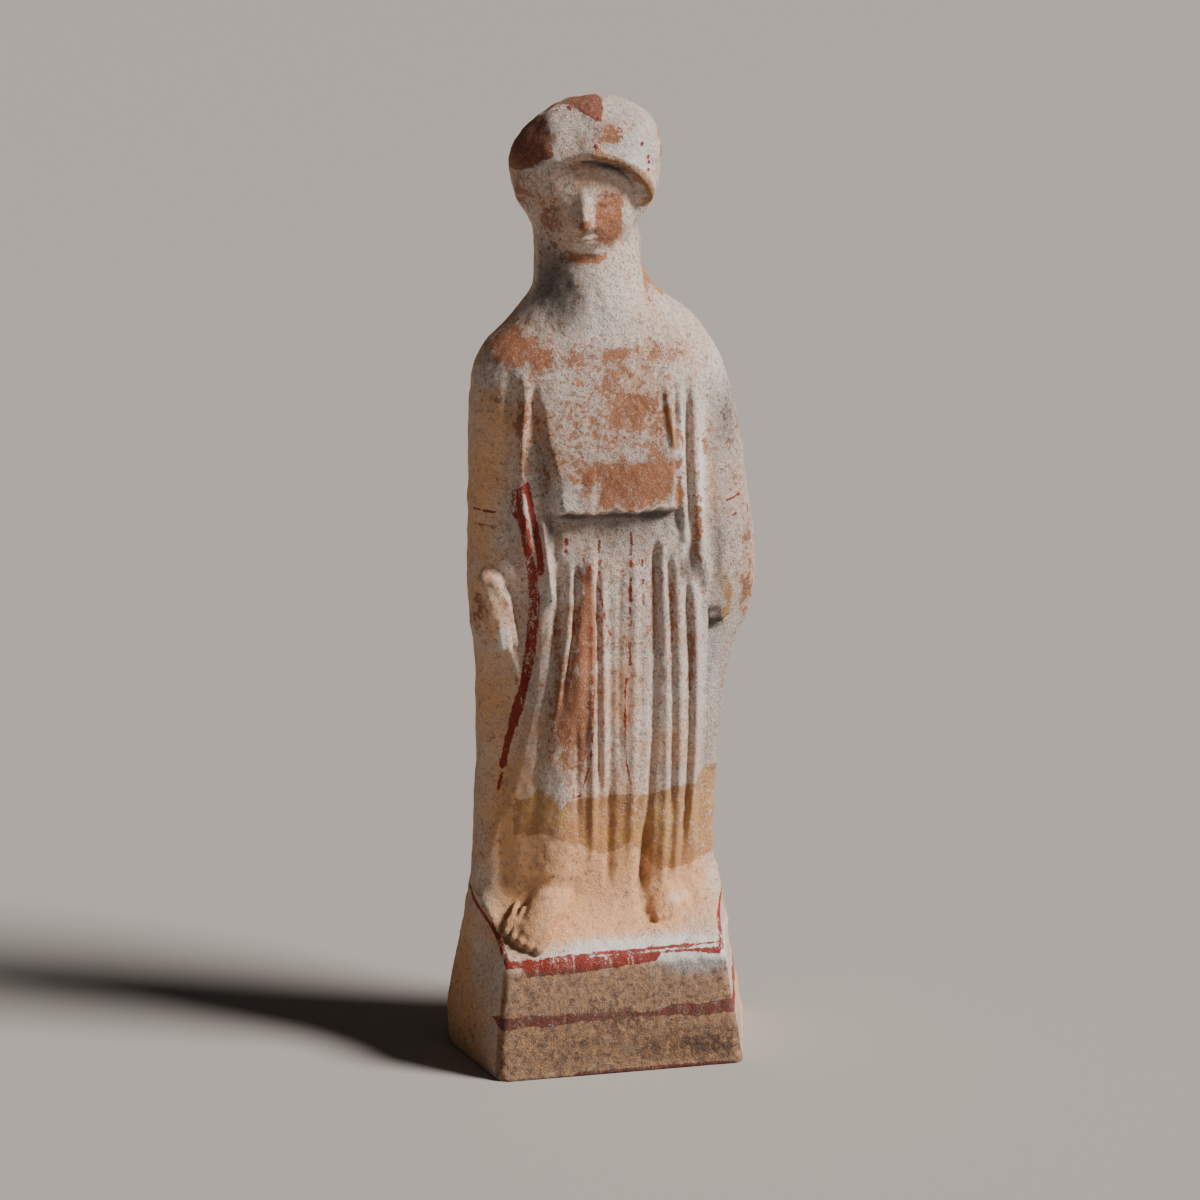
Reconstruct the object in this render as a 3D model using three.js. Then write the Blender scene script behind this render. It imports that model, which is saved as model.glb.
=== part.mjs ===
// Moulded terracotta statuette of a standing woman in a peplos, made in one piece with its
// plinth: a front pressed in a mould, a plain back, and a hollow inside that is open below.
// Millimetres, +Z up, the figure looks along -Y, the origin is below the middle of the whole
// piece, at the height of its underside.

import * as THREE from 'three';

// Driving dimensions of the plinth: a wedge whose top slopes up from its front edge
const plinthFrontWidth = 63;
const plinthFrontShift = 1.4;
const plinthBackWidth = 82;
const plinthBackShift = 2.2;
const plinthDepth = 38;
const plinthHeight = 30;
const plinthTopSlope = 0.55;
const plinthSlopeReach = 26;
const plinthFrontSideBatter = 0.12;
const plinthBackSideBatter = 0.2;
const plinthFrontBatter = 0.07;
const plinthEdgeRadius = 2;
const chipReach = 6;
const chipHeight = 11;

// Driving dimensions of the figure
const figureHeight = 215;
const hemFillet = 9;
const sideFillet = 3.5;
const neckFillet = 2.5;
const handFillet = 1.6;
const footFillet = 1.2;
const seamY = 6;

// Driving dimensions of the hollow
const wall = 6.5;
const hollowHeight = 138;

// Fineness of the faceted skin and of the hollow
const frontColumns = 60;
const backColumns = 16;
const frontEndShare = 0.1;
const backEndShare = 0.1875;
const hollowColumnStep = 2;
const hollowRows = 8;

// The figure's proportions are written for a figure 215 high above the plinth's front edge,
// and every one of them is scaled with the figure.
const writtenHeight = 215;
const scale = figureHeight / writtenHeight;

// Outline of the body: height above the plinth, right and left edge of the figure, front, back.
const outline = [
  [0, -33.4, 32.8, -1, 18],
  [15, -32, 31, -5, 17.5],
  [46, -30.4, 31.6, -8.4, 17],
  [72, -30.4, 35, -9.2, 17],
  [86, -31.8, 40.4, -9, 17],
  [98, -32.2, 41, -9, 17],
  [120, -31.8, 38, -10, 16.5],
  [140, -31.4, 34.5, -11.4, 16],
  [152, -28.8, 30, -10.6, 15],
  [160, -21.4, 24.4, -8.6, 13.8],
  [168, -15.6, 14.4, -7, 13],
  [180, -14.8, 11, -4, 13],
  [196, -13, 9, -2, 13],
];
const frontRoundness = 2.5;
const backRoundness = 3.2;
const neckRoundness = 1.75;

// Head: the place and turn of its axis, and the ball of hair round it.
const head = { x: -2.9, y: 4.5, turn: THREE.MathUtils.degToRad(-13), crown: 199, top: 215 };
const hair = { halfWidth: 18.6, front: 17, back: 15.5, below: 20.7, lean: 0.2 };

// Face, laid out by thirds between hairline and chin on a plain egg.
const face = { hairline: 201.5, chin: 175.5, halfWidth: 12.8, depth: 14.6, middle: 188.5, rise: 20 };
const faceThird = (face.hairline - face.chin) / 3;
const brow = face.hairline - faceThird;
const noseBase = face.chin + faceThird;
const mouth = noseBase - faceThird / 3;
const eyes = brow - faceThird * 0.25;
const archHalfWidth = 15.5;
const archDrop = 12.5;
const archStep = 3.2;
const archStepRight = 1.6;
const archSoftness = 2;

// Folds: where the ridge runs (x and height at its top, middle and bottom), its half width,
// how far it stands out or in, and over what height its two ends fade.
const folds = [
  { run: [[-20.4, 146], [-21.6, 136], [-19.6, 104]], half: 1.4, rise: 2, fade: [10, 5] },
  { run: [[-24, 146], [-23.4, 126], [-22.4, 100]], half: 1.4, rise: -1.3, fade: [12, 10] },
  { run: [[-18.9, 146], [-16.6, 126], [-14.8, 112]], half: 1.1, rise: -0.9, fade: [8, 4] },
  { run: [[17.9, 144], [18.4, 126], [20.2, 104]], half: 1.1, rise: 1.4, fade: [10, 5] },
  { run: [[19.7, 142], [20.2, 120], [22, 94]], half: 0.9, rise: -1, fade: [14, 8] },
  { run: [[21.4, 145], [22.1, 124], [25.6, 93]], half: 1.3, rise: 1.3, fade: [12, 4] },
  { run: [[25.6, 142], [26.6, 118], [28.6, 100]], half: 2, rise: -0.5, fade: [12, 8] },
  { run: [[-6, 103], [-6.6, 84], [-8.6, 62]], half: 2, rise: 1.4, fade: [8, 24] },
  { run: [[-10, 88], [-11, 56], [-13.4, 16]], half: 6.4, rise: 2.8, fade: [40, 8] },
  { run: [[-11.4, 98], [-13.4, 82], [-18, 44]], half: 1.1, rise: -1.4, fade: [12, 20] },
  { run: [[-4.4, 104], [-4.3, 70], [-3.6, 26]], half: 1.1, rise: 1.3, fade: [8, 18] },
  { run: [[0.6, 86], [0.8, 52], [0.8, 18]], half: 1.2, rise: -1, fade: [16, 10] },
  { run: [[11.9, 104], [12.1, 80], [10, 14]], half: 1, rise: -1.3, fade: [10, 8] },
  { run: [[13.8, 105], [14.9, 81], [15, 14]], half: 1.3, rise: 0.9, fade: [6, 8] },
  { run: [[17.2, 102], [18.4, 80], [18.4, 18]], half: 1.2, rise: 1, fade: [8, 8] },
  { run: [[19.8, 97], [21.3, 76], [20.4, 22]], half: 0.9, rise: -1, fade: [8, 12] },
  { run: [[21.6, 95], [23.2, 76], [22.4, 30]], half: 1.2, rise: 1.1, fade: [6, 12] },
  { run: [[-26, 84], [-21.6, 70], [-20.6, 62]], half: 1.5, rise: 1.4, fade: [5, 10] },
];

// Front edges of the mantle that hangs behind each hand, from top to hem, the side on which
// the mantle lies, and how far it lies back from the skirt.
const mantleEdges = [
  { run: [[-17.8, 96], [-19.4, 64], [-28, 30]], side: -1, step: 2.6, fade: [12, 14] },
  { run: [[26.4, 92], [25.4, 62], [24.6, 22]], side: 1, step: 2.2, fade: [12, 14] },
];

// Overfold of the peplos: a flat panel over the chest that ends in a straight free edge.
const overfold = { edge: 113.6, top: 152, sideTop: -20.4, sideEdge: -13, otherSide: 17.2, rise: 3 };

// Hands and feet, as rods from one end to the other with a radius at each. The hands lie
// between handsFrom and handsTo and the feet below feetTop, as heights above the plinth.
const handsFrom = 78;
const handsTo = 108;
const feetTop = 24;
const hands = [
  { from: [-28.8, -2.6, 96], to: [-26, -3.8, 84], radii: [3.1, 2.4] },
  { from: [-27, -4.4, 97], to: [-23.8, -4, 88], radii: [2, 1.5] },
  { from: [33, -0.6, 98], to: [29.6, -3.2, 86], radii: [4.2, 2.8] },
  { from: [28.6, -3.6, 97], to: [28.2, -4.6, 88], radii: [2, 1.6] },
];
const feet = [
  { from: [-13.4, -3, 13.5], to: [-20.6, -12.2, 5.6], radii: [5.2, 3.6] },
  { from: [-17.5, -9, 7], to: [-23, -12.2, 4.6], radii: [3.2, 2.4] },
  { from: [-17.6, -12, 5.4], to: [-24.2, -12.6, 4.4], radii: [2.6, 2.6] },
  { from: [16.2, -1, 12], to: [15.8, -6, 8.2], radii: [4.8, 3.7] },
  { from: [13.2, -7, 7.4], to: [19.8, -4.6, 9], radii: [2.4, 2.4] },
];

// Small functions that the forms share
const clamp = (v, low, high) => Math.min(Math.max(v, low), high);
const lerp = (a, b, t) => a + (b - a) * t;
const bell = (v, half) => Math.exp(-((v / half) ** 2));

function ease(a, b, v) {
  const t = clamp((v - a) / (b - a), 0, 1);
  return t * t * (3 - 2 * t);
}

function softMin(a, b, r) {
  const near = Math.max(r - Math.abs(a - b), 0) / r;
  return Math.min(a, b) - (near * near * r) / 4;
}

const softMax = (a, b, r) => -softMin(-a, -b, r);

// Smooth curve through one column of the outline, by cubic spans between its rows.
function outlineCurve(column) {
  const h = outline.map((row) => row[0]);
  const v = outline.map((row) => row[column]);
  const last = h.length - 1;
  const slope = h.map((_, i) => {
    const a = Math.max(i - 1, 0);
    const b = Math.min(i + 1, last);
    return (v[b] - v[a]) / (h[b] - h[a]);
  });
  return (height) => {
    const at = clamp(height, h[0], h[last]);
    let i = 0;
    while (i < last - 1 && at > h[i + 1]) i += 1;
    const span = h[i + 1] - h[i];
    const t = (at - h[i]) / span;
    const bend = 3 * t * t - 2 * t * t * t;
    return lerp(v[i], v[i + 1], bend)
      + span * t * (1 - t) * (slope[i] * (1 - t) - slope[i + 1] * t);
  };
}
const rightEdge = outlineCurve(1);
const leftEdge = outlineCurve(2);
const frontEdge = outlineCurve(3);
const backEdge = outlineCurve(4);

// x of a run at a height: the parabola through its three points, held beyond its ends.
function runAt(run, height) {
  const [[x0, h0], [x1, h1], [x2, h2]] = run;
  const h = clamp(height, h2, h0);
  const a = ((h - h1) * (h - h2)) / ((h0 - h1) * (h0 - h2));
  const b = ((h - h0) * (h - h2)) / ((h1 - h0) * (h1 - h2));
  const c = ((h - h0) * (h - h1)) / ((h2 - h0) * (h2 - h1));
  return a * x0 + b * x1 + c * x2;
}

function fadeAlong(run, fade, h) {
  const top = run[0][1];
  const bottom = run[2][1];
  return ease(top + fade[0] / 2, top - fade[0] / 2, h) * ease(bottom - fade[1] / 2, bottom + fade[1] / 2, h);
}

function foldRelief(x, h) {
  let sum = 0;
  for (const { run, half, rise, fade } of folds) {
    const away = x - runAt(run, h);
    if (Math.abs(away) < 3 * half) sum += rise * bell(away, half) * fadeAlong(run, fade, h);
  }
  return sum;
}

function mantleRelief(x, h) {
  let sum = 0;
  for (const { run, side, step, fade } of mantleEdges) {
    sum -= step * ease(-1.2, 1.2, side * (x - runAt(run, h))) * fadeAlong(run, fade, h);
  }
  return sum;
}

function overfoldRelief(x, h) {
  const down = clamp((overfold.top - h) / (overfold.top - overfold.edge), 0, 1);
  const side = lerp(overfold.sideTop, overfold.sideEdge, down);
  const near = ease(side - 0.9, side + 0.9, x);
  const far = ease(overfold.otherSide + 1.5, overfold.otherSide - 1.5, x);
  const above = ease(overfold.edge - 0.7, overfold.edge + 0.7, h);
  return overfold.rise * near * far * above * ease(0, 0.75, down);
}

// Position in the head's own turned frame: sideways and forward from its axis.
function headFrame(x, y) {
  const c = Math.cos(head.turn);
  const s = Math.sin(head.turn);
  return [(x - head.x) * c + (y - head.y) * s, (x - head.x) * s - (y - head.y) * c];
}

function faceRelief(side, h) {
  const down = clamp((brow - h) / (brow - noseBase), 0, 1);
  const nose = lerp(0.8, 3.4, down) * bell(side, lerp(1.5, 2.3, down))
    * ease(noseBase - 0.9, noseBase + 0.9, h) * ease(brow + 3, brow - 1.5, h);
  const eye = Math.abs(side) - 4.7;
  const socket = -1.2 * bell(eye, 3) * bell(h - eyes, 2.1);
  const lid = 0.8 * bell(eye, 2) * bell(h - eyes, 1.1);
  const lips = 1.3 * bell(side, 3) * bell(h - mouth, 1.5);
  const chin = 1.4 * bell(side, 3.6) * bell(h - face.chin - 1.8, 2.3);
  return nose + socket + lid + lips + chin;
}

function ellipsoidField(x, y, z, a, b, c) {
  return (Math.hypot(x / a, y / b, z / c) - 1) * Math.min(a, b, c);
}

function headField(x, y, h) {
  const [side, forward] = headFrame(x, y);
  const up = h - head.crown;
  const tall = up > 0 ? head.top - head.crown : hair.below;
  const deep = forward > 0 ? hair.front : hair.back;
  const mass = ellipsoidField(side - hair.lean * Math.max(up, 0), forward, up, hair.halfWidth, deep, tall);
  const archAcross = side / archHalfWidth;
  const archUp = Math.max(h - face.hairline + archDrop, 0) / archDrop;
  const arch = (Math.hypot(archAcross, archUp) - 1) * archDrop;
  const step = lerp(archStepRight, archStep, ease(-9, 1, side));
  const framed = mass + step * ease(archSoftness, -archSoftness, arch) * ease(1, 6, forward);
  const faceUp = h - face.middle;
  const faceTall = faceUp > 0 ? face.rise : face.middle - face.chin;
  const looks = faceRelief(side, h) * ease(0, 8, forward);
  const egg = ellipsoidField(side, forward - looks, faceUp, face.halfWidth, face.depth, faceTall);
  return softMin(framed, egg, 1);
}

function bodyField(x, y, h) {
  const facing = ease(seamY, seamY - 7, y);
  const cloth = facing === 0 ? 0 : (foldRelief(x, h) + mantleRelief(x, h) + overfoldRelief(x, h)) * facing;
  const right = rightEdge(h);
  const left = leftEdge(h);
  const half = (left - right) / 2;
  const inFront = y + cloth < seamY;
  const depth = inFront ? seamY - frontEdge(h) : backEdge(h) - seamY;
  const power = inFront ? lerp(frontRoundness, neckRoundness, ease(146, 162, h)) : backRoundness;
  const across = Math.abs(x - (left + right) / 2) / half;
  const through = Math.abs(y + cloth - seamY) / depth;
  return ((across ** power + through ** power) ** (1 / power) - 1) * Math.min(half, depth);
}

function rodField(x, y, z, { from, to, radii }) {
  const dx = to[0] - from[0];
  const dy = to[1] - from[1];
  const dz = to[2] - from[2];
  const px = x - from[0];
  const py = y - from[1];
  const pz = z - from[2];
  const t = clamp((px * dx + py * dy + pz * dz) / (dx * dx + dy * dy + dz * dz), 0, 1);
  return Math.hypot(px - t * dx, py - t * dy, pz - t * dz) - lerp(radii[0], radii[1], t);
}

// The figure as a distance-like value: negative inside. Cloth moves the front along -Y only,
// as in a piece that was drawn forward out of a mould.
function figureField(x, y, h) {
  const bodyTop = outline[outline.length - 1][0];
  let d = Math.max(bodyField(x, y, h), h - bodyTop);
  if (h > head.crown - 2 * hair.below) d = softMin(d, headField(x, y, h), neckFillet);
  if (h < handsFrom || h > handsTo) return d;
  return hands.reduce((sum, hand) => softMin(sum, rodField(x, y, h, hand), handFillet), d);
}

function feetField(x, y, h) {
  return feet.reduce((sum, foot) => softMin(sum, rodField(x, y, h, foot), footFillet), Infinity);
}

// Middle and half width of the plinth. Both sides lean in, and more so towards the back. The
// front stands a little to the figure's left at its foot.
function plinthSides(y, z) {
  const back = THREE.MathUtils.clamp((y + plinthDepth / 2) / plinthDepth, 0, 1);
  const batter = lerp(plinthFrontSideBatter, plinthBackSideBatter, back);
  const half = lerp(plinthFrontWidth, plinthBackWidth, back) / 2 - batter * z;
  const frontMiddle = plinthFrontShift * (1 - z / plinthHeight);
  return { middle: lerp(frontMiddle, plinthBackShift, back), half };
}

// Broken lower corner at the back, on the figure's right, as a cut by a slanting plane.
function chipField(x, y, z) {
  const corner = plinthBackShift - plinthBackWidth / 2;
  const inward = (x - corner + plinthDepth / 2 - y) / Math.SQRT2;
  return chipReach * (1 - z / chipHeight) - inward;
}

function plinthField(x, y, z) {
  const { middle, half } = plinthSides(y, z);
  const side = Math.abs(x - middle) - half;
  const front = -plinthDepth / 2 + plinthFrontBatter * z - y;
  const rear = y - plinthDepth / 2;
  const reach = Math.min(y + plinthDepth / 2, plinthSlopeReach);
  const top = (z - plinthHeight - plinthTopSlope * reach) * 0.9;
  const r = plinthEdgeRadius;
  const block = softMax(softMax(side, softMax(front, rear, r), r), top, r);
  return softMax(block, chipField(x, y, z), r);
}

function statuetteField(x, y, z) {
  const h = (z - plinthHeight) / scale;
  const figure = Math.max(figureField(x / scale, y / scale, h) * scale, -h * scale);
  const inFront = ease(seamY, seamY - 9, y) * ease(36, 24, Math.abs(x));
  const dressed = softMin(plinthField(x, y, z), figure, lerp(sideFillet, hemFillet, inFront));
  if (h > feetTop) return dressed;
  return softMin(dressed, feetField(x / scale, y / scale, h) * scale, footFillet * scale);
}

// Columns run once round each ring, over the front from the figure's right and then over the
// back. A column is level where it lies on the broad front or back, and else rounds an end.
function columnPlace(i) {
  const front = i < frontColumns;
  const k = front ? i / frontColumns : (i - frontColumns) / backColumns;
  const ends = front ? frontEndShare : backEndShare;
  const side = front ? 1 : -1;
  const level = k >= ends && k <= 1 - ends;
  const across = level ? side * (((k - ends) / (1 - 2 * ends)) * 2 - 1) : side * Math.sign(k - 0.5);
  const round = Math.min(k, 1 - k) / ends;
  const facing = front ? Math.min(round, 1) : 0;
  return { front, level, across, round, facing, turn: Math.PI * k };
}

// A column's place on the plinth's four-sided outline at height z, set in by a margin.
function onPlinth({ front, level, across, round }, z, inset = 0) {
  const end = front ? -plinthDepth / 2 + plinthFrontBatter * z + inset : plinthDepth / 2 - inset;
  const y = level ? end : lerp(seamY, end, round);
  const { middle, half } = plinthSides(y, z);
  return [middle + across * (half - inset), y];
}

// A column's place on the body's outline at height h above the plinth, set in by a margin.
function onBody({ front, level, across, round }, h, inset = 0) {
  const levelShare = 0.93;
  const steadyHalf = 32;
  const right = rightEdge(h) + inset / scale;
  const left = leftEdge(h) - inset / scale;
  const middle = (left + right) / 2;
  const half = (left - right) / 2;
  const power = front ? frontRoundness : backRoundness;
  const depth = front ? frontEdge(h) + inset / scale - seamY : backEdge(h) - inset / scale - seamY;
  const corner = (1 - levelShare ** power) ** (1 / power);
  let u = across * levelShare;
  let through = round * corner;
  if (level) {
    const steady = ease(160, 145, h) * ease(0.95, 0.5, Math.abs(u));
    u = clamp((lerp(middle + u * half, u * steadyHalf, steady) - middle) / half, -levelShare, levelShare);
    through = (1 - Math.abs(u) ** power) ** (1 / power);
  } else {
    u = Math.sign(across) * (1 - through ** power) ** (1 / power);
  }
  return [(middle + u * half) * scale, (seamY + through * depth) * scale];
}

// A column's place on a circle round the head's axis.
function onHead({ front, turn }, radius) {
  const side = front ? 1 : -1;
  return [
    (head.x - side * radius * Math.cos(turn)) * scale,
    (head.y - side * radius * Math.sin(turn)) * scale,
  ];
}

function widthAt(h) {
  return (leftEdge(h) - rightEdge(h)) * scale;
}

// Rings from the underside to the crown. Each ring aims its columns through an outline at height
// z. They start on a short line that reaches spread to either side of the inner axis, so that
// they meet the flat front squarely and fan out only round the ends. The columns of the front
// start lower by the ring's sink, so that they meet the ledge, shoulders and chin squarely too.
function makeRings() {
  const rings = [];
  const hem = 15;
  const plinthSpread = plinthFrontWidth * 0.37;
  const bodySpread = 22 * scale;
  const addRings = (count, make) => {
    for (let i = 1; i <= count; i += 1) rings.push(make(i / count));
  };
  const blend = (a, b, t) => [lerp(a[0], b[0], t), lerp(a[1], b[1], t)];
  rings.push({
    axis: [0, seamY, 0],
    spread: plinthSpread,
    sink: 0,
    z: 0,
    outline: (place) => onPlinth(place, 0),
  });
  addRings(3, (t) => {
    const z = t * plinthHeight;
    return {
      axis: [0, seamY, z],
      spread: plinthSpread,
      sink: 0,
      z,
      outline: (place) => onPlinth(place, z),
    };
  });
  addRings(8, (t) => {
    const z = plinthHeight + hem * scale * t;
    return {
      axis: [0, seamY, z],
      spread: lerp(plinthSpread, bodySpread, t),
      sink: 13 * scale * Math.sin((Math.PI * (t + 0.3)) / 1.6),
      z,
      outline: (place) => blend(onPlinth(place, plinthHeight), onBody(place, hem), t),
    };
  });
  const addBody = (count, low, high, sink = () => 0) => addRings(count, (t) => {
    const h = lerp(low, high, t);
    const onNeck = ease(150, 172, h);
    const onSkull = ease(168, 180, h);
    return {
      axis: [head.x * onNeck * scale, lerp(seamY, head.y * scale, onSkull), plinthHeight + h * scale],
      spread: Math.min(bodySpread, (widthAt(h) / 2 - 10 * scale) * (1 - onSkull)),
      sink: sink(t) * scale,
      z: plinthHeight + h * scale,
      outline: (place) => blend(onBody(place, h), onHead(place, hair.front), onSkull),
    };
  });
  addBody(7, hem, 78, (t) => 7 * (1 - t) ** 3);
  addBody(7, 78, 111.5);
  addBody(3, 111.5, 116);
  addBody(5, 116, 146, (t) => 6 * t * t);
  addBody(6, 146, 172, (t) => 6 * (1 - t));
  addBody(14, 172, head.crown, (t) => -5 * Math.sin(Math.PI * t));
  const domeRings = 6;
  for (let i = 1; i < domeRings; i += 1) {
    const rise = (Math.PI / 2) * (i / domeRings);
    const tall = (head.top - head.crown) * Math.sin(rise);
    rings.push({
      axis: [head.x * scale, head.y * scale, plinthHeight + head.crown * scale],
      spread: 0,
      sink: 0,
      z: plinthHeight + (head.crown + tall) * scale,
      outline: (place) => onHead(place, hair.front * Math.cos(rise)),
    });
  }
  return rings;
}

// Outermost point of the skin on the ray from one point through another.
function castToSkin(from, through) {
  const at = (s) => from.map((v, i) => lerp(v, through[i], s));
  const length = Math.hypot(...from.map((v, i) => through[i] - v));
  const beyond = 9;
  const smallest = 0.15;
  let outer = 1 + beyond / length;
  let value = statuetteField(...at(outer));
  let inner = outer;
  while (value > 0 && inner > 0.2) {
    outer = inner;
    inner -= Math.max(value * 0.5, smallest) / length;
    value = statuetteField(...at(inner));
  }
  for (let i = 0; i < 10; i += 1) {
    const middle = (inner + outer) / 2;
    if (statuetteField(...at(middle)) > 0) outer = middle;
    else inner = middle;
  }
  return at(inner);
}

function addSkin(points, faces, places) {
  const columns = places.length;
  const rings = makeRings();
  for (const { axis, spread, sink, z, outline: at } of rings) {
    const [x, y, level] = axis;
    for (const place of places) {
      const through = at(place);
      const start = THREE.MathUtils.clamp(through[0], x - spread, x + spread);
      points.push(castToSkin([start, y, level - sink * place.facing], [...through, z]));
    }
  }
  for (let r = 0; r < rings.length - 1; r += 1) {
    for (let c = 0; c < columns; c += 1) {
      const a = r * columns + c;
      const b = r * columns + ((c + 1) % columns);
      faces.push([a, b, b + columns], [a, b + columns, a + columns]);
    }
  }
  const rim = (rings.length - 1) * columns;
  const crown = points.length;
  const { axis } = rings[rings.length - 1];
  points.push(castToSkin(axis, [axis[0], axis[1], plinthHeight + figureHeight]));
  for (let c = 0; c < columns; c += 1) faces.push([rim + c, rim + ((c + 1) % columns), crown]);
}

// The hollow follows the same outlines, set in by the wall, with fewer columns, and is closed
// above. Its lowest ring and the skin's bound the flat strip that the piece stands on.
function addHollow(points, faces, places) {
  const columns = places.length;
  const inner = places.filter((_, i) => i % hollowColumnStep === 0);
  const count = inner.length;
  const base = points.length;
  const narrowFrom = plinthHeight - 10 * scale;
  const narrowTo = plinthHeight + 5 * scale;
  for (let r = 0; r <= hollowRows; r += 1) {
    const z = (r / hollowRows) ** 1.25 * hollowHeight;
    const closing = ease(1, 0.85, r / hollowRows) * 0.6 + 0.4;
    const upper = ease(narrowFrom, narrowTo, z);
    for (const place of inner) {
      const low = onPlinth(place, Math.min(z, plinthHeight), wall);
      const high = onBody(place, Math.max((z - plinthHeight) / scale, 5), wall);
      const x = lerp(low[0], high[0], upper) * closing;
      const y = seamY + (lerp(low[1], high[1], upper) - seamY) * closing;
      points.push([x, y, z]);
    }
  }
  const roofRing = base + hollowRows * count;
  const roof = points.length;
  points.push([0, seamY, hollowHeight]);
  for (let i = 0; i < count; i += 1) {
    const next = (i + 1) % count;
    for (let s = 0; s < hollowColumnStep; s += 1) {
      const c = i * hollowColumnStep + s;
      faces.push([c, base + i, (c + 1) % columns]);
    }
    faces.push([((i + 1) * hollowColumnStep) % columns, base + i, base + next]);
    for (let r = 0; r < hollowRows; r += 1) {
      const a = base + r * count + i;
      const b = base + r * count + next;
      faces.push([a, b + count, b], [a, a + count, b + count]);
    }
    faces.push([roofRing + i, roof, roofRing + next]);
  }
}

function makeStatuette() {
  const places = Array.from({ length: frontColumns + backColumns }, (_, i) => columnPlace(i));
  const points = [];
  const faces = [];
  addSkin(points, faces, places);
  addHollow(points, faces, places);
  const geometry = new THREE.BufferGeometry();
  geometry.setAttribute('position', new THREE.Float32BufferAttribute(points.flat(), 3));
  geometry.setIndex(faces.flat());
  geometry.computeVertexNormals();
  geometry.computeBoundingBox();
  const middle = geometry.boundingBox.getCenter(new THREE.Vector3());
  geometry.translate(-middle.x, -middle.y, 0);
  const terracotta = new THREE.MeshStandardMaterial({ color: 0xb9a596, roughness: 0.9, metalness: 0 });
  const mesh = new THREE.Mesh(geometry, terracotta);
  mesh.name = 'statuette';
  return mesh;
}

const model = new THREE.Group();
model.add(makeStatuette());

export default model;
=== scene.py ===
"""Moulded terracotta statuette of a standing woman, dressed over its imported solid.

The skin is one grid of rays. Rings climb from the underside to the crown, columns run round
them, and each ray ends where it leaves a form that is built up from simple solids and relief.
The forms are written in millimetres, with heights counted from the plinth's front edge.
"""

from types import SimpleNamespace

import bpy
import numpy as np
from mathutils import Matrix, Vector


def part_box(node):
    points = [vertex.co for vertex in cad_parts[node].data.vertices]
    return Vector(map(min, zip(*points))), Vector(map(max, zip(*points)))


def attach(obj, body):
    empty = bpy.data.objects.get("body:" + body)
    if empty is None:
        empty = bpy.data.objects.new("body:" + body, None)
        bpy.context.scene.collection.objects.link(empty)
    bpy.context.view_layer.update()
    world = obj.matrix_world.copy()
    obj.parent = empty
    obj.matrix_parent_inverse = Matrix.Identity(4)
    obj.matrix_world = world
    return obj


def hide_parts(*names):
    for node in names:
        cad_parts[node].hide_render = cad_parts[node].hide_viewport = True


bl_info = {
    "name": "Terracotta statuette",
    "version": (1, 0, 0),
    "blender": (4, 5, 0),
    "location": "View3D > Sidebar > Statuette",
    "description": "A moulded terracotta woman in a peplos, with worn slip and paint",
    "category": "Add Mesh",
}

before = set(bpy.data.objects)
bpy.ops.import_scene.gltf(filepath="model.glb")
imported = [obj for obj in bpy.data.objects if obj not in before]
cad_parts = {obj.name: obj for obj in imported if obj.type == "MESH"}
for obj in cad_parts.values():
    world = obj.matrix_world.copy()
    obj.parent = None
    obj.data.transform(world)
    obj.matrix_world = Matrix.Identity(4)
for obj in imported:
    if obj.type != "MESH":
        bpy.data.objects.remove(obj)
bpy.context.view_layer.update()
MM = 0.001

# Plinth, as in the part's source
PLINTH_FRONT_WIDTH = 63
PLINTH_FRONT_SHIFT = 1.4
PLINTH_BACK_WIDTH = 82
PLINTH_DEPTH = 38
PLINTH_HEIGHT = 30
PLINTH_TOP_SLOPE = 0.55
PLINTH_SLOPE_REACH = 26
PLINTH_FRONT_SIDE_BATTER = 0.12
PLINTH_BACK_SIDE_BATTER = 0.2
PLINTH_BACK_SHIFT = 2.2
PLINTH_FRONT_BATTER = 0.07
PLINTH_EDGE_RADIUS = 2
CHIP_REACH = 6
CHIP_HEIGHT = 11
# Small chips along its edges: x, y, height from the ground, reach
CHIPS = [
    (-31.4, -20.6, -0.4, 3.2), (34.6, -20.8, 0.4, 3.2), (24, -21.4, -1.2, 2.6), (4, -22.2, -2.4, 3.6),
    (29.6, -18.4, 31.6, 1.9), (-28.8, -19.6, 30.6, 2.2), (36.6, -6, -0.6, 2.4), (13, -20.4, 31.4, 2.2),
    (28.6, -21.6, 5.2, 2.6), (-10, -20.8, 31.4, 2.4), (41.6, 12, 12, 2.2), (-36.4, 6, 30.4, 2.4),
]
# Fillets between the plinth and the dress, in front and at the sides
HEM_FILLET = 9
SIDE_FILLET = 3.5
# Depth of the seam between the moulded front and the plain back
SEAM_Y = 6
HOLLOW_HEIGHT = 138

# Outline of the body: height above the plinth, right and left edge, front, back
OUTLINE = np.array([
    [0, -33.4, 32.8, -1, 18],
    [15, -32, 31, -5, 17.5],
    [46, -30.4, 31.6, -8.4, 17],
    [72, -30.4, 35, -9.2, 17],
    [86, -31.8, 40.4, -9, 17],
    [98, -32.2, 41, -9, 17],
    [120, -31.8, 38, -10, 16.5],
    [140, -31.4, 34.5, -11.4, 16],
    [152, -28.8, 30, -10.6, 15],
    [160, -21.4, 24.4, -8.6, 13.8],
    [168, -15.6, 14.4, -7, 13],
    [180, -14.8, 11, -4, 13],
    [196, -13, 9, -2, 13],
])
FRONT_ROUNDNESS = 2.5
BACK_ROUNDNESS = 3.2
NECK_ROUNDNESS = 1.75

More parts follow.
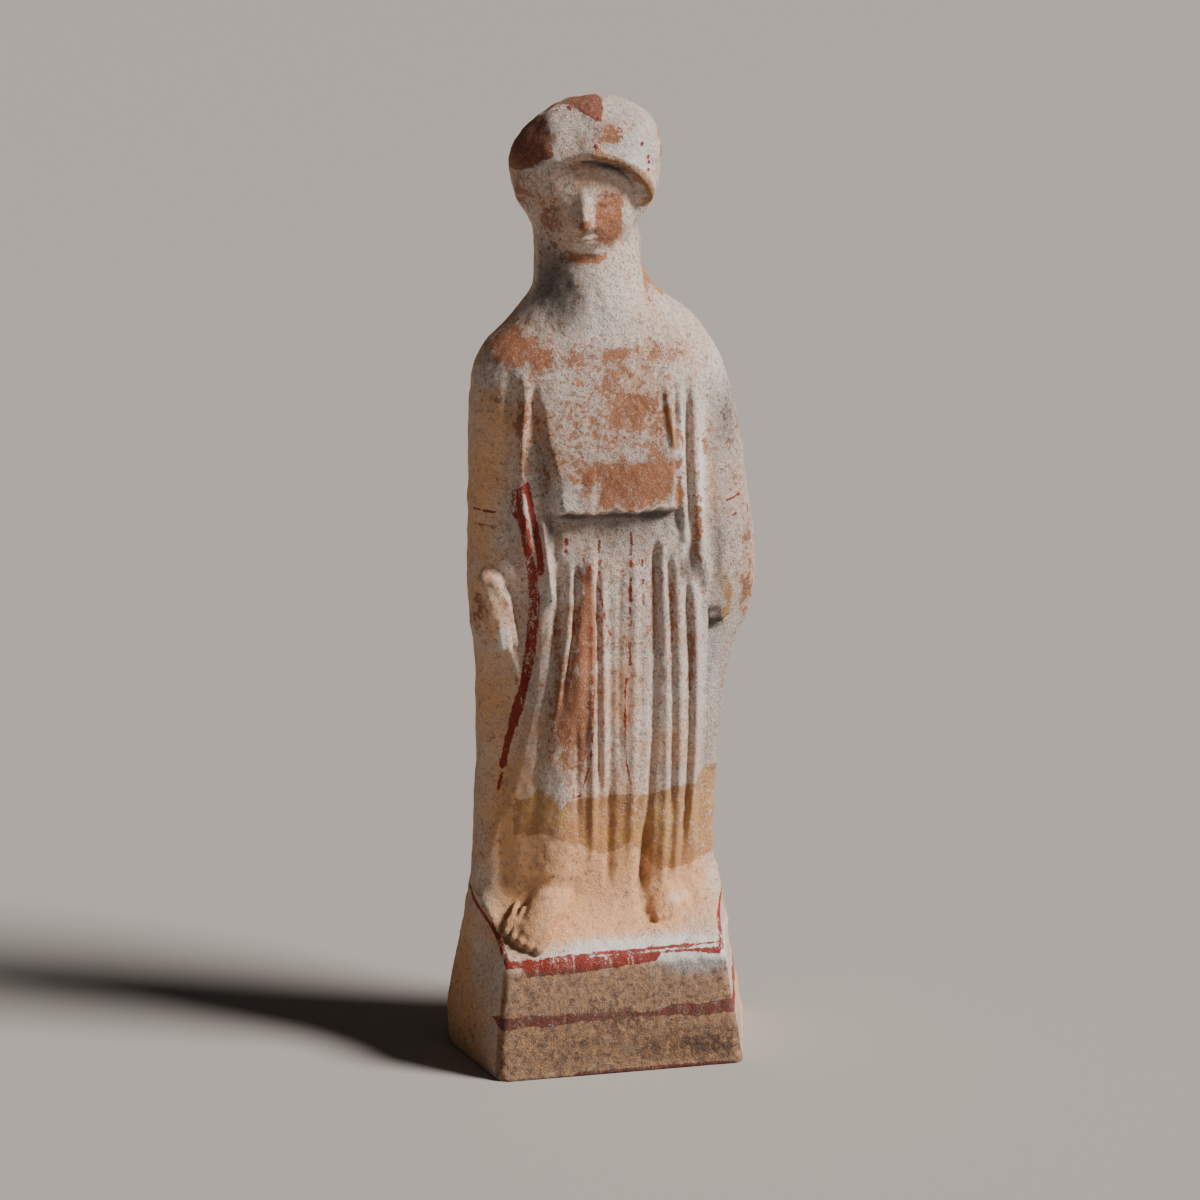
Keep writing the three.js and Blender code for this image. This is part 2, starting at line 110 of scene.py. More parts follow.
# Head, with the ball of hair round it, and the face laid out by thirds on a plain egg
HEAD_X, HEAD_Y, HEAD_TURN, CROWN, TOP = -2.9, 4.5, np.radians(-13), 199, 215
HAIR_HALF, HAIR_FRONT, HAIR_BACK, HAIR_BELOW, HAIR_LEAN = 18.6, 17, 15.5, 20.7, 0.2
HAIRLINE, CHIN, FACE_HALF, FACE_DEPTH, FACE_MIDDLE, FACE_RISE = 201.5, 175.5, 12.8, 14.6, 188.5, 20
FACE_THIRD = (HAIRLINE - CHIN) / 3
BROW = HAIRLINE - FACE_THIRD
NOSE_BASE = CHIN + FACE_THIRD
MOUTH = NOSE_BASE - FACE_THIRD / 3
EYES = BROW - FACE_THIRD * 0.25
ARCH_HALF, ARCH_DROP, ARCH_STEP, ARCH_STEP_RIGHT = 15.5, 12.5, 3.2, 0.8

# Folds: x and height at the top, middle and bottom of a ridge, half width, rise, end fades
FOLDS = [
    ([[-20.4, 146], [-21.6, 136], [-19.6, 104]], 1.4, 2, (10, 5)),
    ([[-24, 146], [-23.4, 126], [-22.4, 100]], 1.4, -1.3, (12, 10)),
    ([[-18.9, 146], [-16.6, 126], [-14.8, 112]], 1.1, -0.9, (8, 4)),
    ([[17.9, 144], [18.4, 126], [20.2, 104]], 1.1, 1.4, (10, 5)),
    ([[19.7, 142], [20.2, 120], [22, 94]], 0.9, -1, (14, 8)),
    ([[21.4, 145], [22.1, 124], [25.6, 93]], 1.3, 1.3, (12, 4)),
    ([[25.6, 142], [26.6, 118], [28.6, 100]], 2, -0.5, (12, 8)),
    ([[-6, 103], [-6.6, 84], [-8.6, 62]], 2, 1.4, (8, 24)),
    ([[-10, 88], [-11, 56], [-13.4, 16]], 6.4, 2.8, (40, 8)),
    ([[-11.4, 98], [-13.4, 82], [-18, 44]], 1.1, -1.4, (12, 20)),
    ([[-4.4, 104], [-4.3, 70], [-3.6, 26]], 1.1, 1.3, (8, 18)),
    ([[0.6, 86], [0.8, 52], [0.8, 18]], 1.2, -1, (16, 10)),
    ([[11.9, 104], [12.1, 80], [10, 14]], 1, -1.3, (10, 8)),
    ([[13.8, 105], [14.9, 81], [15, 14]], 1.3, 0.9, (6, 8)),
    ([[17.2, 102], [18.4, 80], [18.4, 18]], 1.2, 1, (8, 8)),
    ([[19.8, 97], [21.3, 76], [20.4, 22]], 0.9, -1, (8, 12)),
    ([[21.6, 95], [23.2, 76], [22.4, 30]], 1.2, 1.1, (6, 12)),
    ([[-26, 84], [-21.6, 70], [-20.6, 62]], 1.5, 1.4, (5, 10)),
]
# Finer folds, too thin for the faceted solid
FINE_FOLDS = [
    ([[-27.6, 140], [-27.4, 118], [-27, 104]], 1, -0.4, (16, 10)),
    ([[-16.6, 112], [-15.4, 102], [-14.2, 92]], 0.9, 1.8, (3, 5)),
    ([[-13.4, 112], [-12.8, 102], [-12.2, 92]], 1.1, -1, (4, 6)),
    ([[14.2, 145], [14.7, 138], [16.4, 128]], 0.8, 1.1, (5, 6)),
    ([[16.4, 142], [16.4, 126], [18.2, 108]], 0.6, -0.7, (8, 4)),
    ([[18.6, 104], [19.2, 98], [19.6, 90]], 0.8, 0.9, (3, 5)),
    ([[-9.4, 100], [-10.6, 84], [-14.6, 60]], 0.9, 0.7, (10, 12)),
    ([[-8.2, 99], [-9.1, 84], [-12, 68]], 0.6, -1.1, (6, 10)),
    ([[-2.8, 100], [-2.8, 80], [-2, 40]], 0.9, -0.9, (8, 14)),
    ([[-1.4, 96], [-1.2, 82], [-0.8, 46]], 0.9, 0.7, (8, 12)),
    ([[3.2, 98], [2.8, 78], [3.4, 50]], 0.8, -0.5, (10, 12)),
    ([[6.6, 100], [6.8, 70], [6.4, 24]], 1.2, 0.7, (10, 12)),
    ([[15.2, 101], [16.2, 81], [17, 36]], 0.8, -0.8, (8, 12)),
    ([[24.6, 92], [24.8, 70], [24.2, 36]], 0.9, -0.7, (10, 12)),
    ([[10.4, 32], [10, 18], [10.6, 4]], 1.8, -1.5, (12, 4)),
    ([[-25, 34], [-25.4, 20], [-26, 6]], 2.2, -0.9, (12, 4)),
    ([[-8.6, 62], [-8.2, 48], [-7.4, 30]], 1, -1, (12, 14)),
    ([[-23.4, 70], [-24.4, 46], [-26, 24]], 1.2, -0.5, (14, 14)),
    ([[27.8, 84], [27, 60], [26.8, 30]], 1.1, -0.5, (14, 14)),
]
# Front edges of the hanging mantle: run, side on which it lies, step back, end fades
MANTLE_EDGES = [
    ([[-17.8, 96], [-19.4, 64], [-28, 30]], -1, 2.6, (12, 14)),
    ([[26.4, 92], [25.4, 62], [24.6, 22]], 1, 2.2, (12, 14)),
]
OVERFOLD_EDGE, OVERFOLD_TOP, OVERFOLD_RISE = 113.6, 152, 3
OVERFOLD_SIDE_TOP, OVERFOLD_SIDE_EDGE, OVERFOLD_OTHER = -20.4, -13, 17.2

# Rods: start, end, radius at each
HANDS = [
    ((-28.6, -2.4, 96), (-26.8, -3.4, 88), 3, 2.6),
    ((-28.8, -3.8, 90), (-27.6, -4, 82), 1.2, 0.7),
    ((-27.4, -4.6, 91), (-25.8, -4.6, 79.4), 1.4, 0.9),
    ((-25.9, -4.8, 90), (-24, -4.7, 77.6), 1.3, 0.8),
    ((-24.9, -4.6, 92), (-22.4, -4.2, 80), 1.2, 0.7),
    ((-27.6, -4.6, 96.4), (-24.6, -5, 89), 1.6, 1.2),
    ((-29.2, -4, 95.6), (-28.4, -4.4, 88), 1.2, 1),
    ((32.6, -1.2, 98), (29.8, -3.6, 88), 4.2, 2.8),
    ((28.8, -4.4, 99), (27.6, -5.4, 88), 1.9, 1.4),
    ((33.2, -4.2, 95), (31.4, -5, 85), 1.4, 1),
    ((31.2, -5, 95), (29.6, -5.6, 84), 1.4, 1),
    ((26.4, -4.6, 104), (25.8, -5.4, 92), 1.1, 0.9),
]
FEET = [
    ((-13.4, -3, 13.5), (-20.2, -11.6, 6), 5.2, 3.6),
    ((-17.8, -12, 5.6), (-24, -8, 7.2), 2.6, 2.6),
    ((16.4, -1, 12), (16, -5.6, 8.8), 4.6, 3.6),
    ((13.8, -6, 8), (19.6, -3.8, 9.6), 2.4, 2.4),
]
# Toes: first and last tip, how far back they start, radius
TOES = [
    ((-19.4, -15.6, 3.6), (-26.2, -9.6, 6.4), (3.6, 4.9, 5.6), 1.45),
    ((13.4, -8.6, 7.2), (20.2, -5.6, 9.4), (0.4, 3.2, 3.6), 1.25),
]


def toe_rods(first, last, back, radius, count=5):
    """Five short rods side by side, the middle ones reaching a little further forward."""
    rods = []
    for i in range(count):
        share = i / (count - 1)
        bow = np.sin(np.pi * share)
        tip = lerp(np.array(first), np.array(last), share) - [0.5 * bow, bow, 0]
        rods.append((tuple(tip + back), tuple(tip), radius * 0.6, radius * (1 - 0.25 * share)))
    return rods


# Painted lines in red: points (x, height from the ground), half width
RED_LINES = [
    ([(-22.4, 149), (-22.5, 144), (-20.9, 141.6), (-19.8, 134.2), (-18.5, 126.7), (-18, 122),
      (-18.4, 115.5), (-19, 108.1), (-20.1, 101.6), (-21.4, 95.4), (-22.9, 89.1)], 1.1),
    ([(-22.9, 89.1), (-24.3, 83), (-25.2, 77.6)], 0.8),
    ([(-25.4, 75.6), (-26.4, 70.6)], 0.4),
    ([(-21.6, 150), (-20.2, 151.2), (-19.2, 145), (-18, 140), (-17, 133), (-16.8, 129)], 0.8),
    ([(-31.3, 143.9), (-27.4, 143.7)], 0.32),
    ([(-31.5, 140), (-27.2, 139.9)], 0.32),
    ([(31.1, 144.1), (35.1, 145)], 0.32),
    ([(31.4, 139.9), (34.1, 140.3)], 0.3),
    ([(37.7, 141.5), (37.7, 139.6)], 0.3),
    ([(-2.2, 123.7), (-1.4, 119.6), (-0.4, 115), (0.8, 111.8)], 0.25),
    ([(4.6, 101), (4.3, 95), (4.5, 81), (6, 72)], 0.24),
    ([(-4.6, 102), (-4.2, 89.5), (-4.7, 81.8), (-5.7, 75.6), (-6.8, 72.3)], 0.2),
    ([(-9.2, 73), (-9.1, 70.3), (-7.2, 70.6)], 0.3),
]
# Dashed red lines down the skirt: x at the top and bottom, half width, then the ends of each dash
RED_DASHES = [
    (-2.3, -2.2, 0.36, [(136.5, 133.5), (131.3, 129.6), (128.9, 127.5)]),
    (5.8, 5.4, 0.36, [(138.1, 132.5), (131, 129.6), (126.5, 120.7), (119, 113.6), (110, 104)]),
    (-5, -4.7, 0.3, [(130.9, 129.5), (127, 123.3), (121.5, 117.8), (115, 112), (110, 104)]),
    (8.7, 9.1, 0.3, [(130.6, 129.3), (126, 125), (122, 119.5)]),
    (-10.5, -10.5, 0.32, [(137.3, 136), (134.6, 133.5)]),
    (-6.3, -6.3, 0.25, [(132.2, 131.2)]),
]
# Spots of red: x, height, half width
RED_SPOTS = [
    (-7.8, 242.6, 0.5), (-5.6, 242.6, 0.45), (-3.8, 234.8, 0.6), (8.3, 234.6, 0.6), (10.2, 231.2, 0.55),
    (10.4, 229.9, 0.5), (10, 228.2, 0.45), (-2.5, 240.9, 0.4), (1, 163.5, 0.5), (3, 163.2, 0.4),
    (-1, 163, 0.4),
]
# Stripe round the plinth: height, then x and half width. Stripe under its top edge: x and the
# height of the stripe's lower side. Line along its bottom edge: first and last x.
PLINTH_LINE_HEIGHT = 15.1
PLINTH_LINE = [
    (-31, -1), (-29.5, 1.6), (-16, 1.5), (-6, 1.0), (2, 0.5), (9, 0.6), (14, 1.3), (18, 1.6), (40, 1.8),
]
EDGE_LINE_TOP = 30.8
EDGE_LINE = [
    (-34, 31), (-25, 31), (-22.5, 26.7), (-10, 26.9), (0, 27.6), (10.5, 28.3), (12, 30.4), (22, 30.2),
    (25, 29.3), (31, 28.8),
]
BOTTOM_LINE = (-11, 31)
# The plinth's front face lies further forward than this
FRONT_FACE_Y = -15

# Yellow ochre: upper edge of the hem's band, its worn lower edge, and single strokes
OCHRE_TOP = [(-24, 68), (-19, 71), (-17.5, 73), (-14.9, 71.6), (-12.5, 67.6), (-10.7, 69.7), (-5, 70.3),
             (5.7, 70.1), (11.5, 69.3), (18.9, 71), (23.2, 70.9), (27.3, 73.6)]
OCHRE_BOTTOM = [(-24, 60), (-14, 61), (-4, 56), (0, 54), (6.7, 57), (13, 49), (21, 48.5), (28, 50)]
OCHRE_LINES = [
    ([(13.6, 169.8), (14, 166), (15.2, 163), (16.2, 160)], 1.0),
    ([(11.5, 201.5), (14.1, 198.7), (16.4, 196.2)], 1.1),
    ([(24.8, 160), (24.9, 157)], 0.7),
    ([(14.6, 237), (15.2, 234), (14.8, 231)], 0.9),
    ([(-3.7, 232.8), (1.3, 230.6), (5.2, 229), (8.6, 226.2), (10.9, 222.4), (11.2, 219)], 1.3),
    ([(31.2, 122), (31.6, 118), (30.6, 114.5)], 1.0),
]
# Red-brown hair down the right side of the head: height, x of its inner boundary
HAIR_EDGE = [
    (227.5, -24), (227.6, -21), (229.2, -17.7), (231.4, -15.5), (232.1, -13.8), (236.4, -13.8),
    (240.7, -13.6), (242.5, -12.6), (246, -3),
]
# Lower side of the red-brown over the crown: x, height
CROWN_EDGE = [
    (-14, 240.8), (-10, 242.6), (-8, 243.2), (-5, 242), (-3, 240.4), (-1.6, 240.6), (0, 243.8), (2, 247),
]

# Patches of bare clay: x, height, half width, half height, strength
BARE = [
    (-23, 185, 5, 4.5, 0.55), (-16, 182, 2.4, 2.2, 0.4), (1, 180, 4, 4, 0.15),
    (4.6, 171.4, 3.2, 2.2, 0.3), (1.9, 183.6, 3, 1, 0.2), (0.7, 167.5, 2.4, 3, 0.2),
    (10, 167, 5, 6, 0.12), (14.3, 184, 5, 3, 0.16), (11, 157, 5, 4, 0.15),
    (-11.4, 147.4, 2.4, 3.2, -0.6), (-4.1, 149.3, 1.2, 2.4, -0.4), (7, 158, 3, 1.6, -0.2),
    (-21.7, 168, 2, 5, 0.2), (-21, 157, 1.6, 5, 0.2), (-15.5, 152, 1.4, 6, 0.14),
    (-27, 172, 1.6, 3, 0.14), (-5.8, 112.5, 2.2, 7, 0.5), (-5.4, 124, 1.3, 8, 0.3),
    (-9, 92, 4.6, 12, 0.5), (-13, 112, 1, 12, 0.14), (11.6, 120, 0.9, 12, 0.3),
    (16.4, 116, 0.8, 12, 0.25), (21.6, 104, 0.9, 12, 0.3), (3.4, 96, 2, 12, 0.12),
    (22.8, 138, 1.3, 9, 0.36), (17.6, 146, 1.3, 5, 0.3), (37, 133, 1.6, 5, 0.3), (37.5, 118, 2, 6, 0.3),
    (33, 160, 4, 14, 0.12), (-30.6, 118, 1.3, 5, 0.3), (-25.5, 122, 2.2, 3, 0.22), (0, 238, 3, 3, 0.25),
    (0, 236, 3.4, 1.8, 0.3), (12, 203, 2, 8, 0.3), (5, 240, 4, 2, 0.14), (-20, 219, 3, 9, 0.3),
    (0, 15, 9, 2, 0.3), (12, 27, 12, 3, -0.3), (24, 6, 8, 3, 0.16), (0, 118, 15, 22, 0.08),
]
# Painted shade in hollows, under overhangs, beside the feet, under the chin and down the side away from the
# light, with a few smears of old dirt
DIRT_AND_SHADE = [
    (2, 137, 17, 6, 0.35), (-13, 205, 8, 16, 0.45), (-10, 196, 6, 10, 0.6), (-31, 120, 5, 50, 0.22),
    (-27, 172, 5, 9, 0.3), (0, 134, 16, 5, 0.2), (-9.5, 143.2, 4, 1.1, 0.9), (2, 142.9, 9, 0.9, 0.7),
    (13, 142.4, 6, 1.6, 0.7), (20, 128, 2.4, 5, 0.8), (-14.6, 139, 1.2, 4, 0.6),
    (-13.8, 128, 1.1, 5, 0.35), (8.4, 102, 1.1, 16, 0.45), (29, 129, 1.4, 8, 0.3),
    (31, 165, 3, 7, 0.35), (9, 172, 5, 6, 0.25), (-22, 48, 5, 8, 0.25), (9.6, 44, 1.6, 6, 0.4),
    (-27, 36, 1.6, 3, 0.5), (28.8, 113, 1.8, 2, 0.7),
]
# Warm peach where the slip is thin, over the lower part; low down, down the shaded left side and at the
# plinth's left edge it is also painted warm light, the glow of bounced light in the shade
WARM = [
    (-27, 95, 6, 22, 0.6), (-30, 135, 4, 26, 0.4), (-22, 200, 4, 14, 0.35), (-24, 62, 7, 16, 0.75),
    (24, 47, 6, 5, 0.5), (-17, 38, 5, 6, 0.6), (4, 100, 4, 14, 0.35), (-28, 165, 6, 14, 0.4),
    (0, 55, 14, 12, 0.9), (14, 46, 9, 9, 0.9), (-16, 42, 9, 9, 0.9), (0, 38, 26, 8, 0.9),
    (0, 6, 40, 8, 0.3), (11, 192, 5, 8, 0.35), (26, 152, 2, 12, 0.35), (-29, 150, 3, 8, 0.25),
    (30, 124, 3, 5, 0.4), (-36, 20, 4, 20, 0.9),
]
# Thick white slip
WHITE = [
    (18, 158, 1.6, 18, 0.7), (23.6, 150, 1.5, 22, 0.7), (30, 170, 5, 24, 0.35), (0, 194, 14, 8, 0.3),
    (6, 234, 8, 9, 0.5), (2, 31.5, 22, 2.4, 0.9), (22, 28.5, 10, 4, 0.85), (27, 100, 5, 24, 0.45),
    (19, 41.5, 4, 1.6, 0.3), (-8, 176, 8, 10, 0.25), (-26, 112, 1.4, 5, 0.6), (-14.6, 124, 0.8, 7, 0.7),
    (19.4, 136, 1, 6, 0.6),
]
# Coarse, pitted places
ROUGH = [
    (25, 6, 8, 3.4, 1), (14, 7, 8, 3, 0.5), (-20, 38, 6, 7, 0.6), (-6, 8, 24, 7, 0.35),
    (-9, 90, 5, 12, 0.3), (-16, 160, 2, 14, 0.5), (2, 140, 16, 2.6, 0.6), (0, 236, 14, 8, 0.25),
    (30, 100, 6, 30, 0.2),
]
# Paint that is given as a distance in mm, positive inside, and its value where there is none
DISTANCES = ("red", "ochre", "hair")
OUTSIDE = -9.0

# Fineness of the skin
FRONT_COLUMNS, BACK_COLUMNS = 188, 36
FRONT_ENDS, BACK_ENDS = 0.1, 0.1875
# The hollow has one column for so many of the skin's
HOLLOW_STEP = 4
# Rays start so far outside their aim, in mm, and take at least this step and at most so many steps
RAY_START, LEAST_STEP, MOST_STEPS, HALVINGS = 9, 0.12, 90, 12

# Towards the key light, and the point in metres that the camera looks at
TOWARDS_SUN = (0.69, -0.41, 0.66)
CAMERA_AIM = (-0.0081, -0.023, 0.125)


def ease(a, b, v):
    """Smooth step from 0 at a to 1 at b."""
    t = np.clip((v - a) / (b - a), 0, 1)
    return t * t * (3 - 2 * t)


def lerp(a, b, t):
    """The straight line from a at 0 to b at 1."""
    return a + (b - a) * t


def bell(v, half):
    """1 in the middle, falling as the exponential of minus the square of v over half."""
    return np.exp(-((v / half) ** 2))


def soft_min(a, b, r):
    """The smaller of two fields, rounded where they meet within r."""
    near = np.maximum(r - np.abs(a - b), 0) / r
    return np.minimum(a, b) - near * near * r / 4


def soft_max(a, b, r):
    """The larger of two fields, rounded in the same way."""
    return -soft_min(-a, -b, r)


def outline_at(height):
    """Right edge, left edge, front and back at each height: cubic spans between the outline's rows."""
    h, v = OUTLINE[:, 0], OUTLINE[:, 1:]
    last = len(h) - 1
    lower = np.maximum(np.arange(last + 1) - 1, 0)
    upper = np.minimum(np.arange(last + 1) + 1, last)
    slope = (v[upper] - v[lower]) / (h[upper] - h[lower])[:, None]
    at = np.clip(height, h[0], h[-1])
    i = np.clip(np.searchsorted(h, at, side="left") - 1, 0, last - 1)
    span = (h[i + 1] - h[i])[..., None]
    t = ((at - h[i]) / (h[i + 1] - h[i]))[..., None]
    bend = 3 * t ** 2 - 2 * t ** 3
    out = lerp(v[i], v[i + 1], bend) + span * t * (1 - t) * (slope[i] * (1 - t) - slope[i + 1] * t)
    return np.moveaxis(out, -1, 0)


def run_at(run, height):
    """x of a run at each height: the parabola through its three points, held beyond its ends."""
    (x0, h0), (x1, h1), (x2, h2) = run
    h = np.clip(height, h2, h0)
    a = (h - h1) * (h - h2) / ((h0 - h1) * (h0 - h2))
    b = (h - h0) * (h - h2) / ((h1 - h0) * (h1 - h2))
    c = (h - h0) * (h - h1) / ((h2 - h0) * (h2 - h1))
    return a * x0 + b * x1 + c * x2


def fade_along(run, fade, h):
    """1 along a run, with a smooth step at either end as long as its fade."""
    top, bottom = run[0][1], run[2][1]
    return ease(top + fade[0] / 2, top - fade[0] / 2, h) * ease(bottom - fade[1] / 2, bottom + fade[1] / 2, h)


def fold_relief(x, h):
    """Sum of ridges and grooves, each a bell across its run, faded at its two ends."""
    total = np.zeros_like(x)
    for run, half, rise, fade in FOLDS + FINE_FOLDS:
        total += rise * bell(x - run_at(run, h), half) * fade_along(run, fade, h)
    return total


def mantle_relief(x, h):
    """The cloth steps back behind each of the mantle's front edges, in a smooth step across the run."""
    total = np.zeros_like(x)
    for run, side, step, fade in MANTLE_EDGES:
        total -= step * ease(-1.0, 1.0, side * (x - run_at(run, h))) * fade_along(run, fade, h)
    return total


def overfold_relief(x, h):
    """The flat panel over the chest, with a sharp free edge below."""
    down = np.clip((OVERFOLD_TOP - h) / (OVERFOLD_TOP - OVERFOLD_EDGE), 0, 1)
    side = lerp(OVERFOLD_SIDE_TOP, OVERFOLD_SIDE_EDGE, down) + 0.3 * np.sin(h * 0.42)
    near = ease(side - 1.0, side + 2.2, x) ** 0.7
    far = ease(OVERFOLD_OTHER + 1.8, OVERFOLD_OTHER - 1.8, x)
    edge = OVERFOLD_EDGE + 0.35 * np.sin(x * 0.55 + 1) + 0.25 * np.sin(x * 1.7)
    above = ease(edge - 0.6, edge + 1.0, h)
    return OVERFOLD_RISE * near * far * above * ease(0, 0.75, down)


def head_frame(x, y):
    """Sideways and forward distance from the head's axis, in the head's turned frame."""
    c, s = np.cos(HEAD_TURN), np.sin(HEAD_TURN)
    return (x - HEAD_X) * c + (y - HEAD_Y) * s, (x - HEAD_X) * s - (y - HEAD_Y) * c


def face_relief(side, h):
    """Nose, sockets, lids, lips and chin as bells on the plain egg, placed by thirds."""
    down = np.clip((BROW - h) / (BROW - NOSE_BASE), 0, 1)
    nose = lerp(0.8, 3.4, down) * bell(side, lerp(1.5, 2.3, down))
    nose *= ease(NOSE_BASE - 0.9, NOSE_BASE + 0.9, h) * ease(BROW + 3, BROW - 1.5, h)
    eye = np.abs(side) - 4.7
    socket = -1.2 * bell(eye, 3) * bell(h - EYES, 2.1)
    lid = 0.8 * bell(eye, 2) * bell(h - EYES, 1.1)
    lips = 1.3 * bell(side, 3) * bell(h - MOUTH, 1.5) - 0.5 * bell(side, 2.6) * bell(h - MOUTH, 0.35)
    chin = 1.4 * bell(side, 3.6) * bell(h - CHIN - 1.8, 2.3)
    return nose + socket + lid + lips + chin


def ellipsoid_field(x, y, z, a, b, c):
    """The length of the point over the half axes, less 1, times the shortest half axis."""
    return (np.sqrt((x / a) ** 2 + (y / b) ** 2 + (z / c) ** 2) - 1) * np.minimum(np.minimum(a, b), c)


def hair_arch(side, h):
    """Signed distance to the arch of hair over the face: negative on the face."""
    up = np.maximum(h - HAIRLINE + ARCH_DROP, 0) / ARCH_DROP
    return (np.hypot(side / ARCH_HALF, up) - 1) * ARCH_DROP


def head_field(x, y, h):
    """Ball of hair, cut back by a step and a rim inside the arch, joined to the egg of the face."""
    side, forward = head_frame(x, y)
    up = h - CROWN
    tall = np.where(up > 0, TOP - CROWN, HAIR_BELOW)
    deep = np.where(forward > 0, HAIR_FRONT, HAIR_BACK)
    lean = HAIR_LEAN * np.maximum(up, 0)
    mass = ellipsoid_field(side - lean, forward, up, HAIR_HALF, deep, tall)
    step = lerp(ARCH_STEP_RIGHT, ARCH_STEP, ease(-9, 1, side))
    arch = hair_arch(side, h)
    rim = 0.9 * bell(arch - 1.9, 1.5) - 0.9 * bell(arch + 0.9, 0.8)
    locks = 0.3 * np.sin(7 * np.arctan2(side, up + 26) * 3 + 0.8 * np.sin(up * 0.5)) * ease(0.5, 4, arch)
    framed = mass + (step * ease(0.9, -0.9, arch) - rim * ease(-4, 4, side) - locks) * ease(1, 6, forward)
    face_up = h - FACE_MIDDLE
    face_tall = np.where(face_up > 0, FACE_RISE, FACE_MIDDLE - CHIN)
    looks = face_relief(side, h) * ease(0, 8, forward)
    egg = ellipsoid_field(side, forward - looks, face_up, FACE_HALF, FACE_DEPTH, face_tall)
    return soft_min(framed, egg, 1)


def body_field(x, y, h):
    """Superellipse round the outline's two edges, with the cloth's relief pushing it along -Y."""
    facing = ease(SEAM_Y, SEAM_Y - 7, y)
    cloth = (fold_relief(x, h) + mantle_relief(x, h) + overfold_relief(x, h)) * facing
    right, left, front, back = outline_at(h)
    half = (left - right) / 2
    in_front = y + cloth < SEAM_Y
    depth = np.where(in_front, SEAM_Y - front, back - SEAM_Y)
    front_power = lerp(FRONT_ROUNDNESS, NECK_ROUNDNESS, ease(146, 162, h))
    power = np.where(in_front, front_power, BACK_ROUNDNESS)
    across = np.abs(x - (left + right) / 2) / half
    through = np.abs(y + cloth - SEAM_Y) / depth
    return ((across ** power + through ** power) ** (1 / power) - 1) * np.minimum(half, depth)


def rod_field(x, y, z, start, end, r0, r1):
    """Distance to the line from start to end, less a radius that runs from r0 to r1."""
    p = np.stack([x - start[0], y - start[1], z - start[2]])
    d = np.subtract(end, start)
    t = np.clip(np.tensordot(d, p, 1) / (d @ d), 0, 1)
    away = np.sqrt(((p - d[:, None] * t) ** 2).sum(0))
    return away - lerp(r0, r1, t)


FOOT_RODS = FEET + [rod for toe in TOES for rod in toe_rods(*toe)]


def figure_field(x, y, h):
    """Body, head and hands joined by small fillets, over the heights where each can reach."""
    d = np.maximum(body_field(x, y, h), h - OUTLINE[-1, 0])
    near = h > CHIN - 12
    d[near] = soft_min(d[near], head_field(x[near], y[near], h[near]), 2.5)
    near = (h > 76) & (h < 110)
    for start, end, r0, r1 in HANDS:
        d[near] = soft_min(d[near], rod_field(x[near], y[near], h[near], start, end, r0, r1), 0.9)
    return d


def plinth_side(y, z):
    """Middle and half width of the plinth: both sides lean in, and more so towards the back."""
    back = np.clip((y + PLINTH_DEPTH / 2) / PLINTH_DEPTH, 0, 1)
    batter = lerp(PLINTH_FRONT_SIDE_BATTER, PLINTH_BACK_SIDE_BATTER, back)
    half = lerp(PLINTH_FRONT_WIDTH, PLINTH_BACK_WIDTH, back) / 2 - batter * z
    return lerp(PLINTH_FRONT_SHIFT * (1 - z / PLINTH_HEIGHT), PLINTH_BACK_SHIFT, back), half


def plinth_field(x, y, z):
    """Wedge between battered sides under a sloping top, less the broken corner and small chips."""
    middle, half = plinth_side(y, z)
    side = np.abs(x - middle) - half
    front = -PLINTH_DEPTH / 2 + PLINTH_FRONT_BATTER * z - y
    rear = y - PLINTH_DEPTH / 2
    reach = np.minimum(y + PLINTH_DEPTH / 2, PLINTH_SLOPE_REACH)
    top = (z - PLINTH_HEIGHT - PLINTH_TOP_SLOPE * reach) * 0.9
    r = PLINTH_EDGE_RADIUS
    block = soft_max(soft_max(side, soft_max(front, rear, r), r), top, r)
    corner = PLINTH_BACK_SHIFT - PLINTH_BACK_WIDTH / 2
    inward = (x - corner + PLINTH_DEPTH / 2 - y) / np.sqrt(2)
    chip = CHIP_REACH * (1 - z / CHIP_HEIGHT) - inward
    block = soft_max(block, chip, r)
    for cx, cy, cz, reach in CHIPS:
        block = soft_max(block, reach - np.sqrt((x - cx) ** 2 + (y - cy) ** 2 + (z - cz) ** 2), 0.8)
    return block


def statuette_field(p):
    """Distance-like value of the whole piece at points p (3 rows, mm): negative inside."""
    x, y, z = p
    h = z - PLINTH_HEIGHT
    figure = np.maximum(figure_field(x, y, h), -h)
    in_front = ease(SEAM_Y, SEAM_Y - 9, y) * ease(36, 24, np.abs(x))
    d = soft_min(plinth_field(x, y, z), figure, lerp(SIDE_FILLET, HEM_FILLET, in_front))
    near = h < 24
    for start, end, r0, r1 in FOOT_RODS:
        blend = 1.6 if r0 > 2 else 0.5
        d[near] = soft_min(d[near], rod_field(x[near], y[near], h[near], start, end, r0, r1), blend)
    return d


def column_places(front_columns, back_columns):
    """Where each column lies: front or back, level or rounding an end, and how far along."""
    i = np.arange(front_columns + back_columns)
    front = i < front_columns
    k = np.where(front, i / front_columns, (i - front_columns) / back_columns)
    ends = np.where(front, FRONT_ENDS, BACK_ENDS)
    side = np.where(front, 1, -1)
    level = (k >= ends) & (k <= 1 - ends)
    across = np.where(level, side * ((k - ends) / (1 - 2 * ends) * 2 - 1), side * np.sign(k - 0.5))
    rounding = np.minimum(k, 1 - k) / ends
    facing = np.where(front, np.minimum(rounding, 1), 0)
    return {"front": front, "side": side, "level": level, "across": across, "round": rounding,
            "facing": facing, "turn": np.pi * k}


